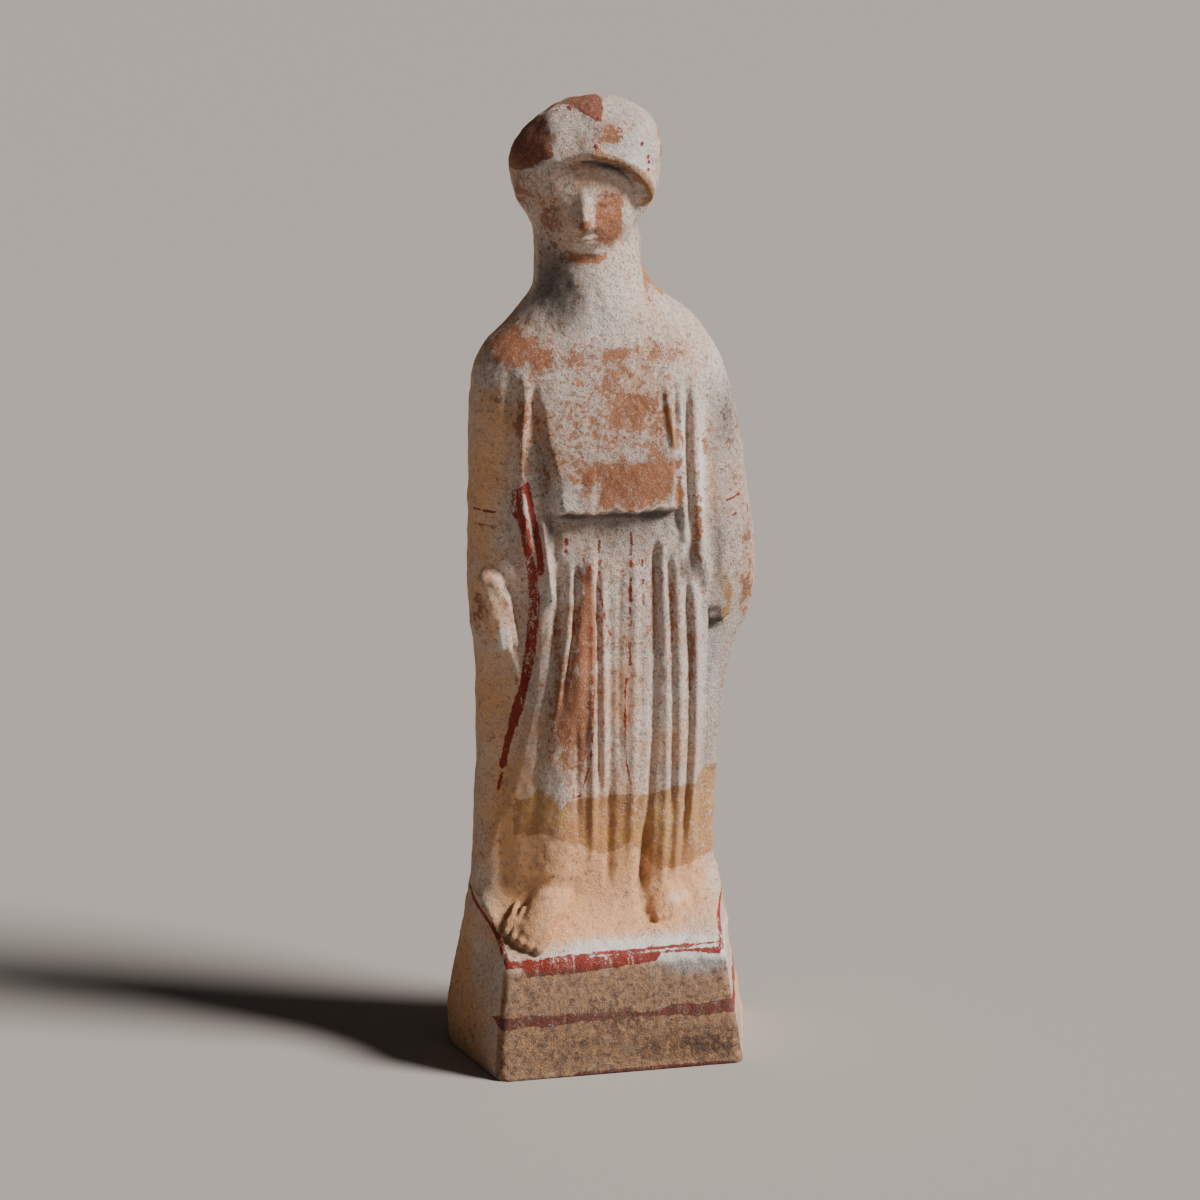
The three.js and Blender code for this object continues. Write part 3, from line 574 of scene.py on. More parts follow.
def on_plinth(c, z, inset=0):
    """Where each column meets the plinth's outline at one height, set in by the inset."""
    end = np.where(c["front"], -PLINTH_DEPTH / 2 + PLINTH_FRONT_BATTER * z + inset, PLINTH_DEPTH / 2 - inset)
    y = np.where(c["level"], end, lerp(SEAM_Y, end, c["round"]))
    middle, half = plinth_side(y, z)
    return np.stack([middle + c["across"] * (half - inset), y])


def on_body(c, h, inset=0):
    """Where each column meets the body's superellipse at one height, set in by the inset.

    The level columns spread evenly over a share of the width, and between the hem and the shoulders
    those near the middle keep their x from ring to ring. The rest share the two ends.
    """
    share, steady_half = 0.93, 32
    right, left, front, back = outline_at(np.array(float(h)))
    right, left = right + inset, left - inset
    middle, half = (left + right) / 2, (left - right) / 2
    power = np.where(c["front"], FRONT_ROUNDNESS, BACK_ROUNDNESS)
    depth = np.where(c["front"], front + inset - SEAM_Y, back - inset - SEAM_Y)
    corner = (1 - share ** power) ** (1 / power)
    u = c["across"] * share
    steady = ease(160, 145, h) * ease(0.95, 0.5, np.abs(u))
    u_level = np.clip((lerp(middle + u * half, u * steady_half, steady) - middle) / half, -share, share)
    through = np.where(c["level"], (1 - np.abs(u_level) ** power) ** (1 / power), c["round"] * corner)
    u = np.where(c["level"], u_level, np.sign(c["across"]) * (1 - through ** power) ** (1 / power))
    return np.stack([middle + u * half, SEAM_Y + through * depth])


def on_head(c, radius):
    """Points round a circle about the head's axis, one for each column."""
    return np.stack([HEAD_X - c["side"] * radius * np.cos(c["turn"]),
                     HEAD_Y - c["side"] * radius * np.sin(c["turn"])])


def ring_plan(fineness):
    """List of rings, each (axis point, spread, sink, height, aim), from the underside to the crown.

    The rays of a ring start on a short line through its axis point that reaches spread to either
    side, so that they meet the flat front squarely and fan out only round the ends.
    """
    hem = 15
    rings = [((0, SEAM_Y, 0), 24, 0, 0, lambda c: on_plinth(c, 0))]

    def rows(count):
        n = max(int(round(count * fineness)), 1)
        return (np.arange(n) + 1) / n

    for t in rows(40):
        z = t * PLINTH_HEIGHT
        rings.append(((0, SEAM_Y, z), 24, 0, z, lambda c, z=z: on_plinth(c, z)))
    for t in rows(62):
        z = PLINTH_HEIGHT + hem * t
        sink = 13 * np.sin(np.pi * (t + 0.3) / 1.6)
        aim = lambda c, t=t: lerp(on_plinth(c, PLINTH_HEIGHT), on_body(c, hem), t)
        rings.append(((0, SEAM_Y, z), lerp(24, 22, t), sink, z, aim))

    def body(count, low, high, sink=lambda t: 0):
        for t in rows(count):
            h = lerp(low, high, t)
            on_neck, on_skull = ease(150, 172, h), ease(168, 180, h)
            right, left = outline_at(np.array(float(h)))[:2]
            spread = max((left - right) / 2 - 10, 0) * (1 - on_skull)
            axis = (HEAD_X * on_neck, lerp(SEAM_Y, HEAD_Y, on_skull), PLINTH_HEIGHT + h)
            aim = lambda c, h=h, w=on_skull: lerp(on_body(c, h), on_head(c, HAIR_FRONT), w)
            rings.append((axis, min(spread, 22), sink(t), PLINTH_HEIGHT + h, aim))

    body(52, hem, 78, lambda t: 7 * (1 - t) ** 3)
    body(52, 78, 111.5)
    body(16, 111.5, 116)
    body(42, 116, 146, lambda t: 6 * t * t)
    body(38, 146, 172, lambda t: 6 * (1 - t))
    body(84, 172, CROWN, lambda t: -5 * np.sin(np.pi * t))
    for t in rows(34)[:-1]:
        rise = np.pi / 2 * t
        z = PLINTH_HEIGHT + CROWN + (TOP - CROWN) * np.sin(rise)
        axis = (HEAD_X, HEAD_Y, PLINTH_HEIGHT + CROWN)
        rings.append((axis, 0, 0, z, lambda c, r=HAIR_FRONT * np.cos(rise): on_head(c, r)))
    return rings


def cast_to_skin(origin, target):
    """Outermost point of the field on each ray: steps inward by the field, then halves the gap."""
    ray = target - origin
    length = np.sqrt((ray ** 2).sum(0))
    outer = 1 + RAY_START / length
    inner = outer.copy()
    live = np.arange(len(length))
    for _ in range(MOST_STEPS):
        value = statuette_field(origin[:, live] + inner[live] * ray[:, live])
        live, value = live[value > 0], value[value > 0]
        live_ok = inner[live] > 0.2
        live, value = live[live_ok], value[live_ok]
        if not len(live):
            break
        outer[live] = inner[live]
        inner[live] -= np.maximum(value * 0.5, LEAST_STEP) / length[live]
    for _ in range(HALVINGS):
        middle = (inner + outer) / 2
        outside = statuette_field(origin + middle * ray) > 0
        outer = np.where(outside, middle, outer)
        inner = np.where(outside, inner, middle)
    return origin + inner * ray


def lumps(p):
    """Hand-pressed unevenness in mm: a sum of plane waves in seeded directions."""
    rng = np.random.default_rng(7)
    total = np.zeros(p.shape[:-1])
    for wavelength, height in ((15, 0.035), (8, 0.03), (4.4, 0.025), (2.4, 0.016)):
        for _ in range(7):
            way = rng.normal(size=3)
            way /= np.linalg.norm(way)
            total += height * np.sin(p @ way * 2 * np.pi / wavelength + rng.uniform(0, 2 * np.pi))
    return total


def make_skin(fineness, unevenness):
    """Vertices (rings, columns, xyz) of the skin and the crown point, in mm."""
    whole = [round(n * fineness / HOLLOW_STEP) * HOLLOW_STEP for n in (FRONT_COLUMNS, BACK_COLUMNS)]
    c = column_places(*whole)
    rings = ring_plan(fineness)
    count = len(c["across"])
    origin = np.empty((3, len(rings), count))
    target = np.empty((3, len(rings), count))
    for r, (axis, spread, sink, z, aim) in enumerate(rings):
        target[:2, r] = aim(c)
        target[2, r] = z
        origin[0, r] = axis[0] + np.clip(target[0, r] - axis[0], -spread, spread)
        origin[1, r] = axis[1]
        origin[2, r] = axis[2] - sink * c["facing"]
    skin = cast_to_skin(origin.reshape(3, -1), target.reshape(3, -1)).reshape(3, len(rings), count)
    ray = skin - origin
    ray /= np.sqrt((ray ** 2).sum(0))
    uneven = unevenness * lumps(np.moveaxis(skin, 0, -1)) * ease(0, 2, skin[2])
    skin = skin + ray * uneven
    axis = np.array(rings[-1][0], float)[:, None]
    crown = cast_to_skin(axis, axis + np.array([[0], [0], [TOP - CROWN]]))
    return np.moveaxis(skin, 0, -1), crown[:, 0], c


def make_hollow(c, wall, rows=14):
    """Vertices of the hollow: the same outlines set in by the wall, closing towards its roof."""
    inner = {k: v[::HOLLOW_STEP] for k, v in c.items()}
    out = []
    for r in range(rows + 1):
        t = r / rows
        z = t ** 1.25 * HOLLOW_HEIGHT
        closing = ease(1, 0.85, t) * 0.6 + 0.4
        upper = ease(PLINTH_HEIGHT - 10, PLINTH_HEIGHT + 5, z)
        low = on_plinth(inner, min(z, PLINTH_HEIGHT), wall)
        high = on_body(inner, max(z - PLINTH_HEIGHT, 5), wall)
        x, y = lerp(low, high, upper)
        out.append(np.stack([x * closing, SEAM_Y + (y - SEAM_Y) * closing, np.full_like(x, z)], -1))
    return np.array(out)


def grid_faces(rows, columns, first=0, inward=False):
    """Quads of a closed grid of rings, facing out, or in when inward."""
    r, c = np.meshgrid(np.arange(rows - 1), np.arange(columns), indexing="ij")
    a = first + r * columns + c
    b = first + r * columns + (c + 1) % columns
    quads = np.stack([a, b, b + columns, a + columns], -1).reshape(-1, 4)
    return quads[:, ::-1] if inward else quads


def line_distance(points, x, z):
    """Distance from each vertex to a line through the points, in the view square to the front."""
    nearest = np.full_like(x, 1e3)
    for (x0, z0), (x1, z1) in zip(points[:-1], points[1:]):
        dx, dz = x1 - x0, z1 - z0
        t = np.clip(((x - x0) * dx + (z - z0) * dz) / (dx * dx + dz * dz), 0, 1)
        nearest = np.minimum(nearest, np.hypot(x - x0 - t * dx, z - z0 - t * dz))
    return nearest


def blob(across, up, half, tall, power=2):
    """A bell in both directions, with a flatter top at a higher power."""
    return np.exp(-np.abs(across / half) ** power - np.abs(up / tall) ** power)


def patches(places, x, z):
    """Sum of soft round patches: x, height, half width, half height, strength."""
    total = np.zeros_like(x)
    for cx, cz, half, tall, strength in places:
        total += strength * blob(x - cx, z - cz, half, tall)
    return total


def curve_at(points, v):
    """Straight lines between the points, held beyond the first and the last."""
    return np.interp(v, *zip(*points))


def plinth_top_at(y):
    """Height of the plinth's top: it climbs from the front edge as far as the slope reaches."""
    return PLINTH_HEIGHT + PLINTH_TOP_SLOPE * np.clip(y + PLINTH_DEPTH / 2, 0, PLINTH_SLOPE_REACH)


def figure_red(x, y, z):
    """Distance inside the red lines, dashes and spots on the dress and the hair."""
    inside = np.full_like(x, OUTSIDE)
    for points, half in RED_LINES:
        inside = np.maximum(inside, half - line_distance(points, x, z))
    for top_x, low_x, half, dashes in RED_DASHES:
        high, low = dashes[0][0], dashes[-1][1]
        for dash in dashes:
            ends = [(lerp(low_x, top_x, (v - low) / (high - low)), v) for v in dash]
            inside = np.maximum(inside, half - line_distance(ends, x, z))
    for cx, cz, half in RED_SPOTS:
        inside = np.maximum(inside, (half - np.hypot(x - cx, z - cz)) * 2)
    return np.where(y < SEAM_Y, inside, OUTSIDE)


def plinth_red(x, y, z):
    """Distance inside the red stripe round the plinth and the lines along its edges."""
    in_front = y < FRONT_FACE_Y
    below = plinth_top_at(y) - z
    middle, half = plinth_side(y, z)
    beside = np.abs(x - middle) > half - 1.2
    ring = curve_at(PLINTH_LINE, x) - np.abs(z - PLINTH_LINE_HEIGHT - 0.25 * np.sin(x * 0.5))
    edge = np.minimum(z - curve_at(EDGE_LINE, x), EDGE_LINE_TOP - z)
    edge = np.where(beside, np.minimum(below - 0.1, 1.5 - below), np.where(in_front, edge, OUTSIDE))
    on_lip = (z > 28.5) & (z < 32)
    lip = np.where(on_lip, 0.35 - np.abs(y + PLINTH_DEPTH / 2 - 2.9 - 0.02 * x), OUTSIDE)
    foot = np.minimum(np.minimum(x - BOTTOM_LINE[0], BOTTOM_LINE[1] - x), 1.1 - z)
    red = np.maximum(np.maximum(ring, edge), np.maximum(np.where(in_front, foot, OUTSIDE), lip))
    behind = y > PLINTH_DEPTH / 2 - 1.5
    return np.where(((z < 33) | beside) & (z < 44) & ~behind, red, OUTSIDE)


def ochre_distance(x, y, z):
    """Distance inside the hem's yellow band and the single strokes, fading round the sides."""
    band = np.minimum(curve_at(OCHRE_TOP, x) - z, (z - curve_at(OCHRE_BOTTOM, x)) * 0.6)
    ochre = np.minimum(band, np.minimum((x + 23) * 0.5, (SEAM_Y - 1 - y) * 0.6))
    for points, half in OCHRE_LINES:
        stroke = np.minimum(half - line_distance(points, x, z), (SEAM_Y + 2 - y) * 0.6)
        ochre = np.maximum(ochre, stroke)
    return ochre


def hair_distance(x, y, z):
    """Distance inside the red-brown down the side of the hair and over the crown."""
    round_side = np.maximum(z - 226, (y - 4) * 0.8)
    beside = np.minimum(curve_at(HAIR_EDGE, z) - x, (z - 214) * 0.5)
    beside = np.minimum(beside, np.minimum(round_side, (14 - y) * 0.6))
    crown = np.minimum((z - curve_at(CROWN_EDGE, x)) * 1.2, (9 - y) * 0.6)
    return np.maximum(beside, np.where(z > 236, np.minimum(crown, x + 16), OUTSIDE))


def face_wear(side, forward, h):
    """Bare clay on one cheek, the chin, the tip of the nose and the other temple."""
    cheek = blob(side - 6, h - 186.5, 3.2, 6, 4) * ease(4, 9, forward)
    chin = blob(side, h - CHIN - 0.8, 4.6, 1.3) * ease(4, 9, forward)
    temple = blob(side + 8, h - 186, 4, 7) * ease(2, 7, forward)
    nose = blob(side, h - NOSE_BASE - 1, 1.3, 1.6) * ease(10, 13, forward)
    return 0.65 * cheek + 0.6 * chin + 0.24 * temple + 0.5 * nose


def paint_maps(p):
    """Each vertex's paint: distances in mm, positive inside, for red, ochre and hair, and amounts."""
    x, y, z = p.T
    h = z - PLINTH_HEIGHT
    front = ease(SEAM_Y + 1, SEAM_Y - 3, y)
    relief = fold_relief(x, h) * front
    side, forward = head_frame(x, y)
    # Painted shadow: a dark band under the rim of the hair, across the forehead.
    under_hair_shadow = bell(hair_arch(side, h) + 0.9, 0.9) * ease(-5, 3, side) * ease(2, 7, forward) * (h > 188)
    chest = blob(x - 1, z - 171, 20, 17, 4) * front * (1 - 0.012 * (x - 1))
    low_band = blob(x - 4, z - 151, 13.5, 6, 4) * front
    far_arm = ease(22, 28, x) * ease(60, 76, z) * ease(186, 172, z) * front
    # Painted shade: the plinth's front face is made darker and browner, through more bare clay, more of the
    # dark colour and more peach.
    plinth_front_shade = ease(30, 27, z) * ease(-14, -16.5, y)
    bare_and_shade = patches(BARE, x, z) * front + face_wear(side, forward, h) + 0.165 * chest + 0.36 * low_band
    bare_and_shade += 0.02 * far_arm + 0.03 * np.clip(relief, 0, 2) + 0.1 * plinth_front_shade
    # Painted shade: darker in the grooves of the folds and under the hair's rim, on top of the listed
    # patches; the right arm gets dark specks of dirt.
    dirt_and_shade = patches(DIRT_AND_SHADE, x, z) * front + 0.12 * np.clip(-relief, 0, 3) + 0.9 * under_hair_shadow
    dirt_and_shade += 0.7 * plinth_front_shade + 0.4 * far_arm
    return {
        "red": np.maximum(figure_red(x, y, z), plinth_red(x, y, z)),
        "ochre": ochre_distance(x, y, z),
        "hair": hair_distance(x, y, z),
        "bare_and_shade": bare_and_shade,
        "dirt_and_shade": dirt_and_shade,
        "warm": patches(WARM, x, z) + 0.4 * ease(2, 12, y) + 0.6 * plinth_front_shade,
        "white": patches(WHITE, x, z) * front,
        "rough": patches(ROUGH, x, z) * front,
    }


def statuette_faces(rows, columns, inner_rows, inner_columns):
    """Quads of the skin and the hollow, and triangles of the crown, the rim below and the roof."""
    base = rows * columns + 1
    roof = base + inner_rows * inner_columns
    quads = np.concatenate([
        grid_faces(rows, columns), grid_faces(inner_rows, inner_columns, base, inward=True),
    ])
    col = np.arange(columns)
    last = (rows - 1) * columns
    cap = np.stack([last + col, last + (col + 1) % columns, np.full(columns, rows * columns)], -1)
    sole = np.stack([col, base + col // HOLLOW_STEP, (col + 1) % columns], -1)
    k = np.arange(inner_columns)
    after = (k + 1) % inner_columns
    bridge = np.stack([((k + 1) * HOLLOW_STEP) % columns, base + k, base + after], -1)
    top = base + (inner_rows - 1) * inner_columns
    ceiling = np.stack([top + k, np.full(inner_columns, roof), top + after], -1)
    return quads, np.concatenate([cap, sole, bridge, ceiling])


def make_statuette_mesh(shape):
    """The skin and the hollow as one closed mesh in metres, with its paint as attributes."""
    skin, crown, c = make_skin(shape.fineness, shape.unevenness)
    hollow = make_hollow(c, shape.wall / MM)
    outside = skin.reshape(-1, 3)
    points = np.concatenate([outside, crown[None], hollow.reshape(-1, 3), [[0, SEAM_Y, HOLLOW_HEIGHT]]])
    quads, triangles = statuette_faces(*skin.shape[:2], *hollow.shape[:2])
    box_low, box_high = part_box("statuette")
    middle = (np.array(box_low) + np.array(box_high))[:2] / 2
    placed = points * MM
    placed[:, :2] += middle - (outside.max(0) + outside.min(0))[:2] / 2 * MM
    mesh = bpy.data.meshes.new("statuette_skin")
    mesh.vertices.add(len(placed))
    mesh.vertices.foreach_set("co", placed.astype(np.float32).ravel())
    loops = np.concatenate([quads.ravel(), triangles.ravel()]).astype(np.int32)
    sizes = np.concatenate([np.full(len(quads), 4), np.full(len(triangles), 3)]).astype(np.int32)
    mesh.loops.add(len(loops))
    mesh.loops.foreach_set("vertex_index", loops)
    mesh.polygons.add(len(sizes))
    mesh.polygons.foreach_set("loop_start", (np.cumsum(sizes) - sizes).astype(np.int32))
    mesh.polygons.foreach_set("use_smooth", np.ones(len(sizes), bool))
    mesh.update(calc_edges=True)
    mesh.validate()
    inside = np.arange(len(points)) > len(outside)
    for name, values in paint_maps(points).items():
        plain = OUTSIDE if name in DISTANCES else 0
        layer = mesh.attributes.new(name, "FLOAT", "POINT")
        layer.data.foreach_set("value", np.where(inside, plain, values).astype(np.float32))
    return mesh


class Graph:
    """Short calls for the nodes of one material."""

    def __init__(self, material):
        material.use_nodes = True
        self.tree = material.node_tree
        self.shader = self.tree.nodes["Principled BSDF"]
        where = self.tree.nodes.new("ShaderNodeTexCoord").outputs["Object"]
        scale = self.tree.nodes.new("ShaderNodeVectorMath")
        scale.operation = "SCALE"
        scale.inputs["Scale"].default_value = 1 / MM
        self.tree.links.new(where, scale.inputs[0])
        self.mm = scale.outputs[0]

    def put(self, value, socket):
        if isinstance(value, bpy.types.NodeSocket):
            self.tree.links.new(value, socket)
        else:
            socket.default_value = value

    def math(self, operation, a, b=0.0):
        node = self.tree.nodes.new("ShaderNodeMath")
        node.operation = operation
        self.put(a, node.inputs[0])
        self.put(b, node.inputs[1])
        return node.outputs[0]

    def times(self, a, b):
        return self.math("MULTIPLY", a, b)

    def noise(self, per_mm, detail=4.0, roughness=0.6, distortion=0.0, stretch=(1, 1, 1), shift=0.0):
        """Fractal noise around 0.5, with so many waves to the millimetre."""
        place = self.tree.nodes.new("ShaderNodeMapping")
        place.inputs["Scale"].default_value = stretch
        place.inputs["Location"].default_value = (shift, shift * 1.7, -shift)
        self.tree.links.new(self.mm, place.inputs["Vector"])
        node = self.tree.nodes.new("ShaderNodeTexNoise")
        node.inputs["Scale"].default_value = per_mm
        node.inputs["Detail"].default_value = detail
        node.inputs["Roughness"].default_value = roughness
        node.inputs["Distortion"].default_value = distortion
        self.tree.links.new(place.outputs[0], node.inputs["Vector"])
        return node.outputs["Fac"]

    def attribute(self, name):
        node = self.tree.nodes.new("ShaderNodeAttribute")
        node.attribute_name = name
        return node.outputs["Fac"]

    def step(self, value, low, high):
        """Smooth rise from 0 at low to 1 at high."""
        node = self.tree.nodes.new("ShaderNodeMapRange")
        node.interpolation_type = "SMOOTHSTEP"
        self.put(value, node.inputs["Value"])
        node.inputs["From Min"].default_value = low
        node.inputs["From Max"].default_value = high
        return node.outputs["Result"]

    def total(self, *terms):
        """Sum of (socket, weight) pairs."""
        parts = [self.times(*term) for term in terms]
        out = parts[0]
        for part in parts[1:]:
            out = self.math("ADD", out, part)
        return out

    def mask(self, low, high, *terms, strength=1):
        """Smooth rise of a weighted sum, from 0 at low to the strength at high."""
        rise = self.step(self.total(*terms), low, high)
        return rise if strength == 1 else self.times(rise, strength)

    def over(self, below, above, share):
        """One colour laid over another."""
        node = self.tree.nodes.new("ShaderNodeMix")
        node.data_type = "RGBA"
        sockets = {socket.identifier: socket for socket in node.inputs}
        for value, name in ((below, "A_Color"), (above, "B_Color")):
            self.put(value if isinstance(value, bpy.types.NodeSocket) else (*value, 1), sockets[name])
        self.put(share, sockets["Factor_Float"])
        return next(s for s in node.outputs if s.identifier == "Result_Color")


def make_noises(g):
    """The noises that every layer shares, from broad patches down to grain."""
    return SimpleNamespace(
        broad=g.noise(0.07, 3),
        patch=g.noise(0.28, 8, 0.66, 0.35),
        spot=g.noise(0.62, 7, 0.68, 0.3, shift=23),
        fleck=g.noise(1.2, 5, 0.62, 0.4, shift=31),
        dust=g.noise(0.85, 6, 0.7, 0.2, shift=53),
        fine=g.noise(2.4, 4, 0.62, shift=11),
        grain=g.noise(6, 3, 0.6, shift=5),
        streak=g.noise(0.55, 4, 0.55, 0.6, stretch=(1, 1, 0.22), shift=17),
    )


def clay_colour(g, n, colours):
    """Fired clay, darker in places and filmed with slip in others."""
    clay = g.over(colours.clay, colours.clay_dark, g.mask(0.4, 0.78, (n.fine, 0.5), (n.broad, 0.6)))
    return g.over(clay, colours.clay_pale, g.mask(0.51, 0.6, (n.spot, 0.6), (n.fine, 0.4)))


def slip_colour(g, n, colours, bare_and_shade):
    """White slip: grey dirt, clay showing through, chalky flakes, peach where thin, thick white."""
    slip = g.over(colours.slip_grey, colours.slip,
                  g.mask(0.43, 0.5, (n.spot, 0.5), (n.fleck, 0.25), (n.fine, 0.25)))
    film = g.mask(0.64, 0.69, (n.dust, 0.6), (n.spot, 0.25), (n.fine, 0.15), (bare_and_shade, 0.2), (n.broad, 0.25),
                  strength=0.6)
    slip = g.over(slip, colours.clay_pale, film)
    flakes = g.mask(0.24, 0.3, (n.dust, -0.6), (n.fleck, 0.6), (n.fine, 0.4), strength=0.5)
    slip = g.over(slip, colours.chalk, flakes)
    peach = g.over(colours.peach, colours.peach_deep, g.mask(0.48, 0.6, (n.spot, 0.6), (n.fleck, 0.4)))
    # Thin slip and painted light and shade: the warm amount also lays painted warm bounced light on the lower
    # part and the shaded left side, and painted shade on the plinth's front.
    warm = g.mask(0.5, 1.25, (g.attribute("warm"), 0.75), (n.broad, 0.9), (n.fleck, 0.35), strength=0.82)
    slip = g.over(slip, peach, warm)
    thick = g.mask(0.45, 1.05, (g.attribute("white"), 0.9), (n.fleck, 0.5), (n.broad, 0.35))
    return g.over(slip, colours.chalk, thick)


def ochre_over(g, n, colours, below):
    """Yellow paint with an uneven edge, worn through in spots."""
    inside = g.mask(2.55, 2.95, (g.attribute("ochre"), 1), (n.patch, 2.6), (n.spot, 2.4), (n.fine, 0.6))
    kept = g.mask(0.59, 0.53, (n.fleck, 0.5), (n.spot, 0.5))
    tint = g.over(colours.ochre, colours.ochre_brown, g.mask(0.44, 0.58, (n.broad, 0.6), (n.spot, 0.5)))
    return g.over(below, tint, g.times(g.times(inside, kept), 0.86))


def hair_over(g, n, colours, below):
    """Red-brown paint on the hair; returns the colour and where it lies."""
    inside = g.mask(3.1, 3.6, (g.attribute("hair"), 1), (n.patch, 4), (n.spot, 3))
    tint = g.over(colours.hair, colours.hair_brown, g.mask(0.42, 0.55, (n.broad, 0.7), (n.spot, 0.3)))
    film = g.mask(0.52, 0.6, (n.dust, 0.5), (n.fine, 0.5), strength=0.6)
    tint = g.over(tint, colours.clay_pale, film)
    return g.over(below, tint, g.times(inside, 0.92)), inside


def red_amount(g, n, bare_and_shade):
    """Where the red paint lies, less what has flaked off in streaks."""
    inside = g.mask(1.0, 1.2, (g.attribute("red"), 1), (n.spot, 1.4), (n.patch, 0.8))
    kept = g.mask(0.585, 0.545, (n.streak, 0.4), (n.spot, 0.3), (n.fine, 0.3), (bare_and_shade, 0.12))
    return g.times(inside, kept)


def dirt_and_shade_over(g, n, colours, below):
    """Painted shade in the deep places, under overhangs and on the side away from the light, with some dirt,
    and dark specks all over.
    """
    # Painted shade: the dark colour is laid over the hollows, the undersides and the shaded left side; the
    # specks below are dark dirt.
    dirt_and_shade = g.mask(0.54, 1.08, (g.attribute("dirt_and_shade"), 0.75), (n.spot, 0.5), (n.fine, 0.3), strength=0.8)
    specks = g.mask(0.63, 0.67, (n.fine, 0.55), (n.fleck, 0.45), strength=0.6)
    return g.over(g.over(below, colours.dirt_and_shade, dirt_and_shade), colours.dirt_and_shade, specks)


def scratch_amount(g):
    """Thin pale cracks: where a winding noise passes its middle value, in some places only."""
    away = g.math("ABSOLUTE", g.math("SUBTRACT", g.noise(0.75, 2, 0.5, 2.2, shift=43), 0.5))
    return g.times(g.step(away, 0.01, 0.003), g.step(g.noise(0.45, 3, shift=71), 0.54, 0.6))


def make_terracotta(colours):
    """Bare clay under worn white slip, with paint over the slip, and dirt and painted shade in the hollows.
    """
    material = bpy.data.materials.new("terracotta")
    g = Graph(material)
    n = make_noises(g)
    bare_and_shade = g.attribute("bare_and_shade")
    wear = g.total((n.patch, 0.26), (n.spot, 0.4), (n.fleck, 0.22), (n.streak, 0.08), (n.fine, 0.06),
                   (bare_and_shade, 0.36))
    gone = g.step(wear, 0.58, 0.6)
    thin = g.times(g.step(wear, 0.5, 0.59), 0.25)
    slip = g.over(slip_colour(g, n, colours, bare_and_shade), colours.clay_pale, thin)
    painted, hair = hair_over(g, n, colours, ochre_over(g, n, colours, slip))
    bared = g.times(gone, g.math("SUBTRACT", 1.0, g.times(hair, 0.8)))
    worn = g.over(painted, clay_colour(g, n, colours), bared)
    red = red_amount(g, n, bare_and_shade)
    drawn = g.over(worn, colours.red, g.times(red, 0.95))
    scratches = scratch_amount(g)
    finished = g.over(dirt_and_shade_over(g, n, colours, drawn), colours.chalk, g.times(scratches, 0.75))
    g.put(finished, g.shader.inputs["Base Color"])
    g.shader.inputs["Roughness"].default_value = 0.88
    g.shader.inputs["Specular IOR Level"].default_value = 0.3

    crust = g.times(g.attribute("rough"), g.mask(0.4, 0.62, (n.spot, 0.6), (n.fine, 0.4)))
    height = g.total((g.math("SUBTRACT", 1.0, gone), 0.17), (n.spot, 0.55), (n.fleck, 0.45), (n.fine, 0.36),
                     (n.grain, 0.1), (red, 0.04), (scratches, 0.06), (crust, 1.3))
    bump = g.tree.nodes.new("ShaderNodeBump")
    bump.inputs["Distance"].default_value = MM
    bump.inputs["Strength"].default_value = 0.9
    g.put(height, bump.inputs["Height"])
    g.put(bump.outputs[0], g.shader.inputs["Normal"])
    return material


def colour(name, about, value):
    return bpy.props.FloatVectorProperty(
        name=name, description=about, subtype="COLOR", size=3, min=0, max=1, default=value)


def amount(name, about, value, **how):
    return bpy.props.FloatProperty(name=name, description=about, default=value, **how)


class StatuetteShape(bpy.types.PropertyGroup):
    """Sizes of the skin and the hollow."""

    fineness: amount("Fineness", "Rings and columns as a share of the full grid", 1, min=0.25, max=1)
    unevenness: amount("Unevenness", "Height of the hand-pressed lumps as a share of the usual", 1, min=0)
    wall: amount("Wall", "Thickness of the hollow's wall", 6.5 * MM, min=3 * MM, max=9 * MM, unit="LENGTH")


class StatuetteColours(bpy.types.PropertyGroup):
    """Colours of the clay, the slip and the paint."""

    clay: colour("Clay", "Fired clay where the slip has gone", (0.42, 0.18, 0.095))
    clay_dark: colour("Dark clay", "Clay burnt or stained darker", (0.25, 0.095, 0.05))
    clay_pale: colour("Pale clay", "Clay with a film of slip left on it", (0.49, 0.26, 0.175))
    slip: colour("Slip", "White slip as it mostly is", (0.7, 0.6, 0.54))
    slip_grey: colour("Grey slip", "Slip with old dirt in it", (0.35, 0.285, 0.265))
    chalk: colour("Chalk", "Thick clean slip", (0.82, 0.78, 0.76))
    # Peach also serves as painted warm bounced light in the shade and, with the dark colour, as painted shade
    # on the plinth's front.
    peach: colour("Peach", "Thin slip over clay", (0.95, 0.48, 0.2))
    peach_deep: colour("Deep peach", "The same where the clay shows more", (0.63, 0.32, 0.155))
    ochre: colour("Ochre", "Yellow paint", (0.58, 0.31, 0.08))
    ochre_brown: colour("Brown ochre", "Yellow paint that is worn thin", (0.42, 0.2, 0.085))
    red: colour("Red", "Red paint", (0.29, 0.022, 0.013))
    hair: colour("Hair", "Red-brown paint on the hair", (0.27, 0.073, 0.042))
    hair_brown: colour("Brown hair", "The same paint where it is thin", (0.28, 0.1, 0.045))
    # Painted shade: this dark colour is also laid into the hollows and on the shaded side, besides the dark
    # specks of dirt.
    dirt_and_shade: colour("Soot", "Dark dirt in the hollows", (0.075, 0.062, 0.055))


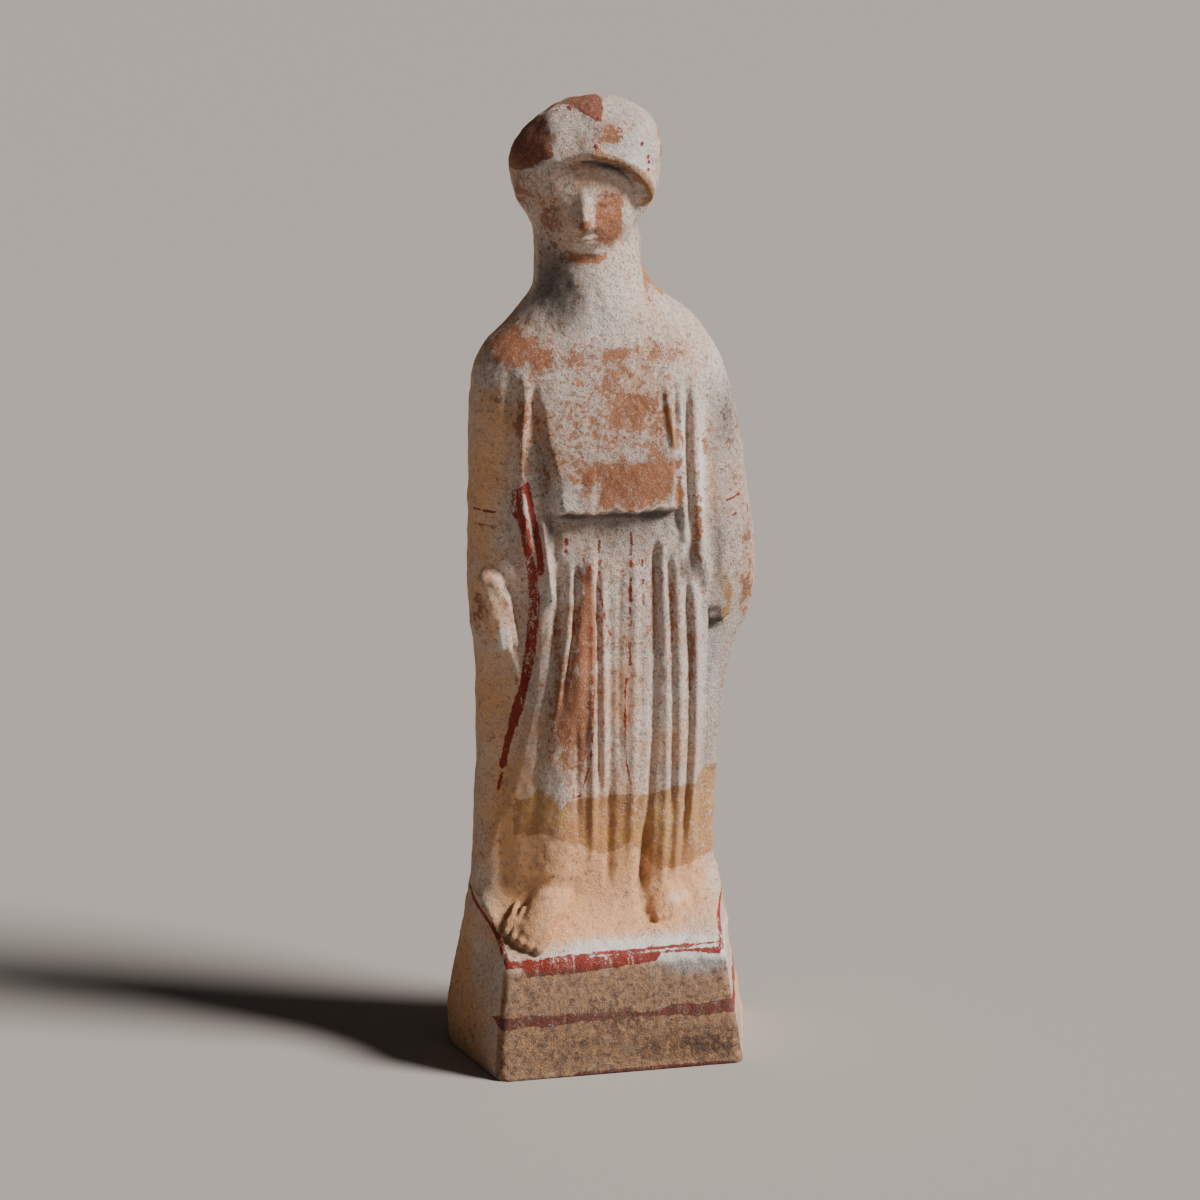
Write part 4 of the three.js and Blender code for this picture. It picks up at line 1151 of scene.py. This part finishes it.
class StatuetteStage(bpy.types.PropertyGroup):
    """Floor, light and camera."""

    floor: colour("Floor", "Colour of the floor", (0.43, 0.405, 0.38))
    sky: colour("Sky", "Colour of the light from all round", (1, 0.96, 0.92))
    sky_strength: amount("Sky strength", "Light from all round", 0.035, min=0)
    sun: colour("Sun", "Colour of the key light", (1, 0.95, 0.89))
    sun_strength: amount("Sun strength", "Strength of the key light", 6, min=0)
    sun_width: amount("Sun width", "Angle the key light spans", np.radians(16), subtype="ANGLE")
    lens: amount("Lens", "Focal length in millimetres on a 36 mm sensor", 129, min=1)
    distance: amount("Distance", "From the camera to its aim", 1.05, unit="LENGTH")
    turn: amount("Turn", "Camera's turn round the piece, 0 in front", np.radians(-13), subtype="ANGLE")
    rise: amount("Rise", "Camera's rise above the level", np.radians(15), subtype="ANGLE")


class STATUETTE_OT_figure(bpy.types.Operator):
    """Make the figure with its plinth as one skin"""

    bl_idname = "statuette.figure"
    bl_label = "Figure and plinth"

    def execute(self, context):
        mesh = make_statuette_mesh(context.scene.statuette_shape)
        piece = bpy.data.objects.new("statuette_figure", mesh)
        context.collection.objects.link(piece)
        mesh.materials.append(make_terracotta(context.scene.statuette_colours))
        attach(piece, "root")
        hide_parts("statuette")
        return {"FINISHED"}


class STATUETTE_OT_stage(bpy.types.Operator):
    """Make the floor, the lights and the camera"""

    bl_idname = "statuette.stage"
    bl_label = "Floor, lights and camera"

    def execute(self, context):
        stage = context.scene.statuette_stage
        floor_mesh = bpy.data.meshes.new("floor")
        floor_mesh.from_pydata([(-8, -8, 0), (8, -8, 0), (8, 8, 0), (-8, 8, 0)], [], [(0, 1, 2, 3)])
        floor = bpy.data.objects.new("floor", floor_mesh)
        context.collection.objects.link(floor)
        paint = bpy.data.materials.new("floor_paint")
        paint.use_nodes = True
        shader = paint.node_tree.nodes["Principled BSDF"]
        shader.inputs["Base Color"].default_value = (*stage.floor, 1)
        shader.inputs["Roughness"].default_value = 0.9
        floor_mesh.materials.append(paint)
        world = bpy.data.worlds.new("studio")
        world.use_nodes = True
        sky = world.node_tree.nodes["Background"]
        sky.inputs["Color"].default_value = (*stage.sky, 1)
        sky.inputs["Strength"].default_value = stage.sky_strength
        context.scene.world = world
        lamp = bpy.data.lights.new("key", "SUN")
        lamp.energy = stage.sun_strength
        lamp.angle = stage.sun_width
        lamp.color = stage.sun
        key = bpy.data.objects.new("key", lamp)
        key.rotation_euler = Vector(TOWARDS_SUN).to_track_quat("Z", "Y").to_euler()
        context.collection.objects.link(key)
        lens = bpy.data.cameras.new("camera")
        lens.lens = stage.lens
        lens.sensor_width = 36
        camera = bpy.data.objects.new("camera", lens)
        turn, rise = stage.turn, stage.rise
        back = Vector((np.sin(turn) * np.cos(rise), -np.cos(turn) * np.cos(rise), np.sin(rise)))
        camera.location = Vector(CAMERA_AIM) + back * stage.distance
        camera.rotation_euler = back.to_track_quat("Z", "Y").to_euler()
        context.collection.objects.link(camera)
        context.scene.camera = camera
        return {"FINISHED"}


class STATUETTE_PT_panel(bpy.types.Panel):
    """Lists the settings and the makers"""

    bl_label = "Statuette"
    bl_idname = "STATUETTE_PT_panel"
    bl_space_type = "VIEW_3D"
    bl_region_type = "UI"
    bl_category = "Statuette"

    def draw(self, context):
        for group in (getattr(context.scene, name) for name in GROUPS):
            for name in group.bl_rna.properties.keys():
                if name not in ("rna_type", "name"):
                    self.layout.prop(group, name)
        self.layout.operator("statuette.figure")
        self.layout.operator("statuette.stage")


GROUPS = {
    "statuette_shape": StatuetteShape,
    "statuette_colours": StatuetteColours,
    "statuette_stage": StatuetteStage,
}
CLASSES = (*GROUPS.values(), STATUETTE_OT_figure, STATUETTE_OT_stage, STATUETTE_PT_panel)


def register():
    for cls in CLASSES:
        bpy.utils.register_class(cls)
    for name, group in GROUPS.items():
        setattr(bpy.types.Scene, name, bpy.props.PointerProperty(type=group))


def unregister():
    for name in GROUPS:
        delattr(bpy.types.Scene, name)
    for cls in reversed(CLASSES):
        bpy.utils.unregister_class(cls)


def main():
    register()
    bpy.ops.statuette.figure()
    bpy.ops.statuette.stage()


if __name__ == "__main__":
    main()
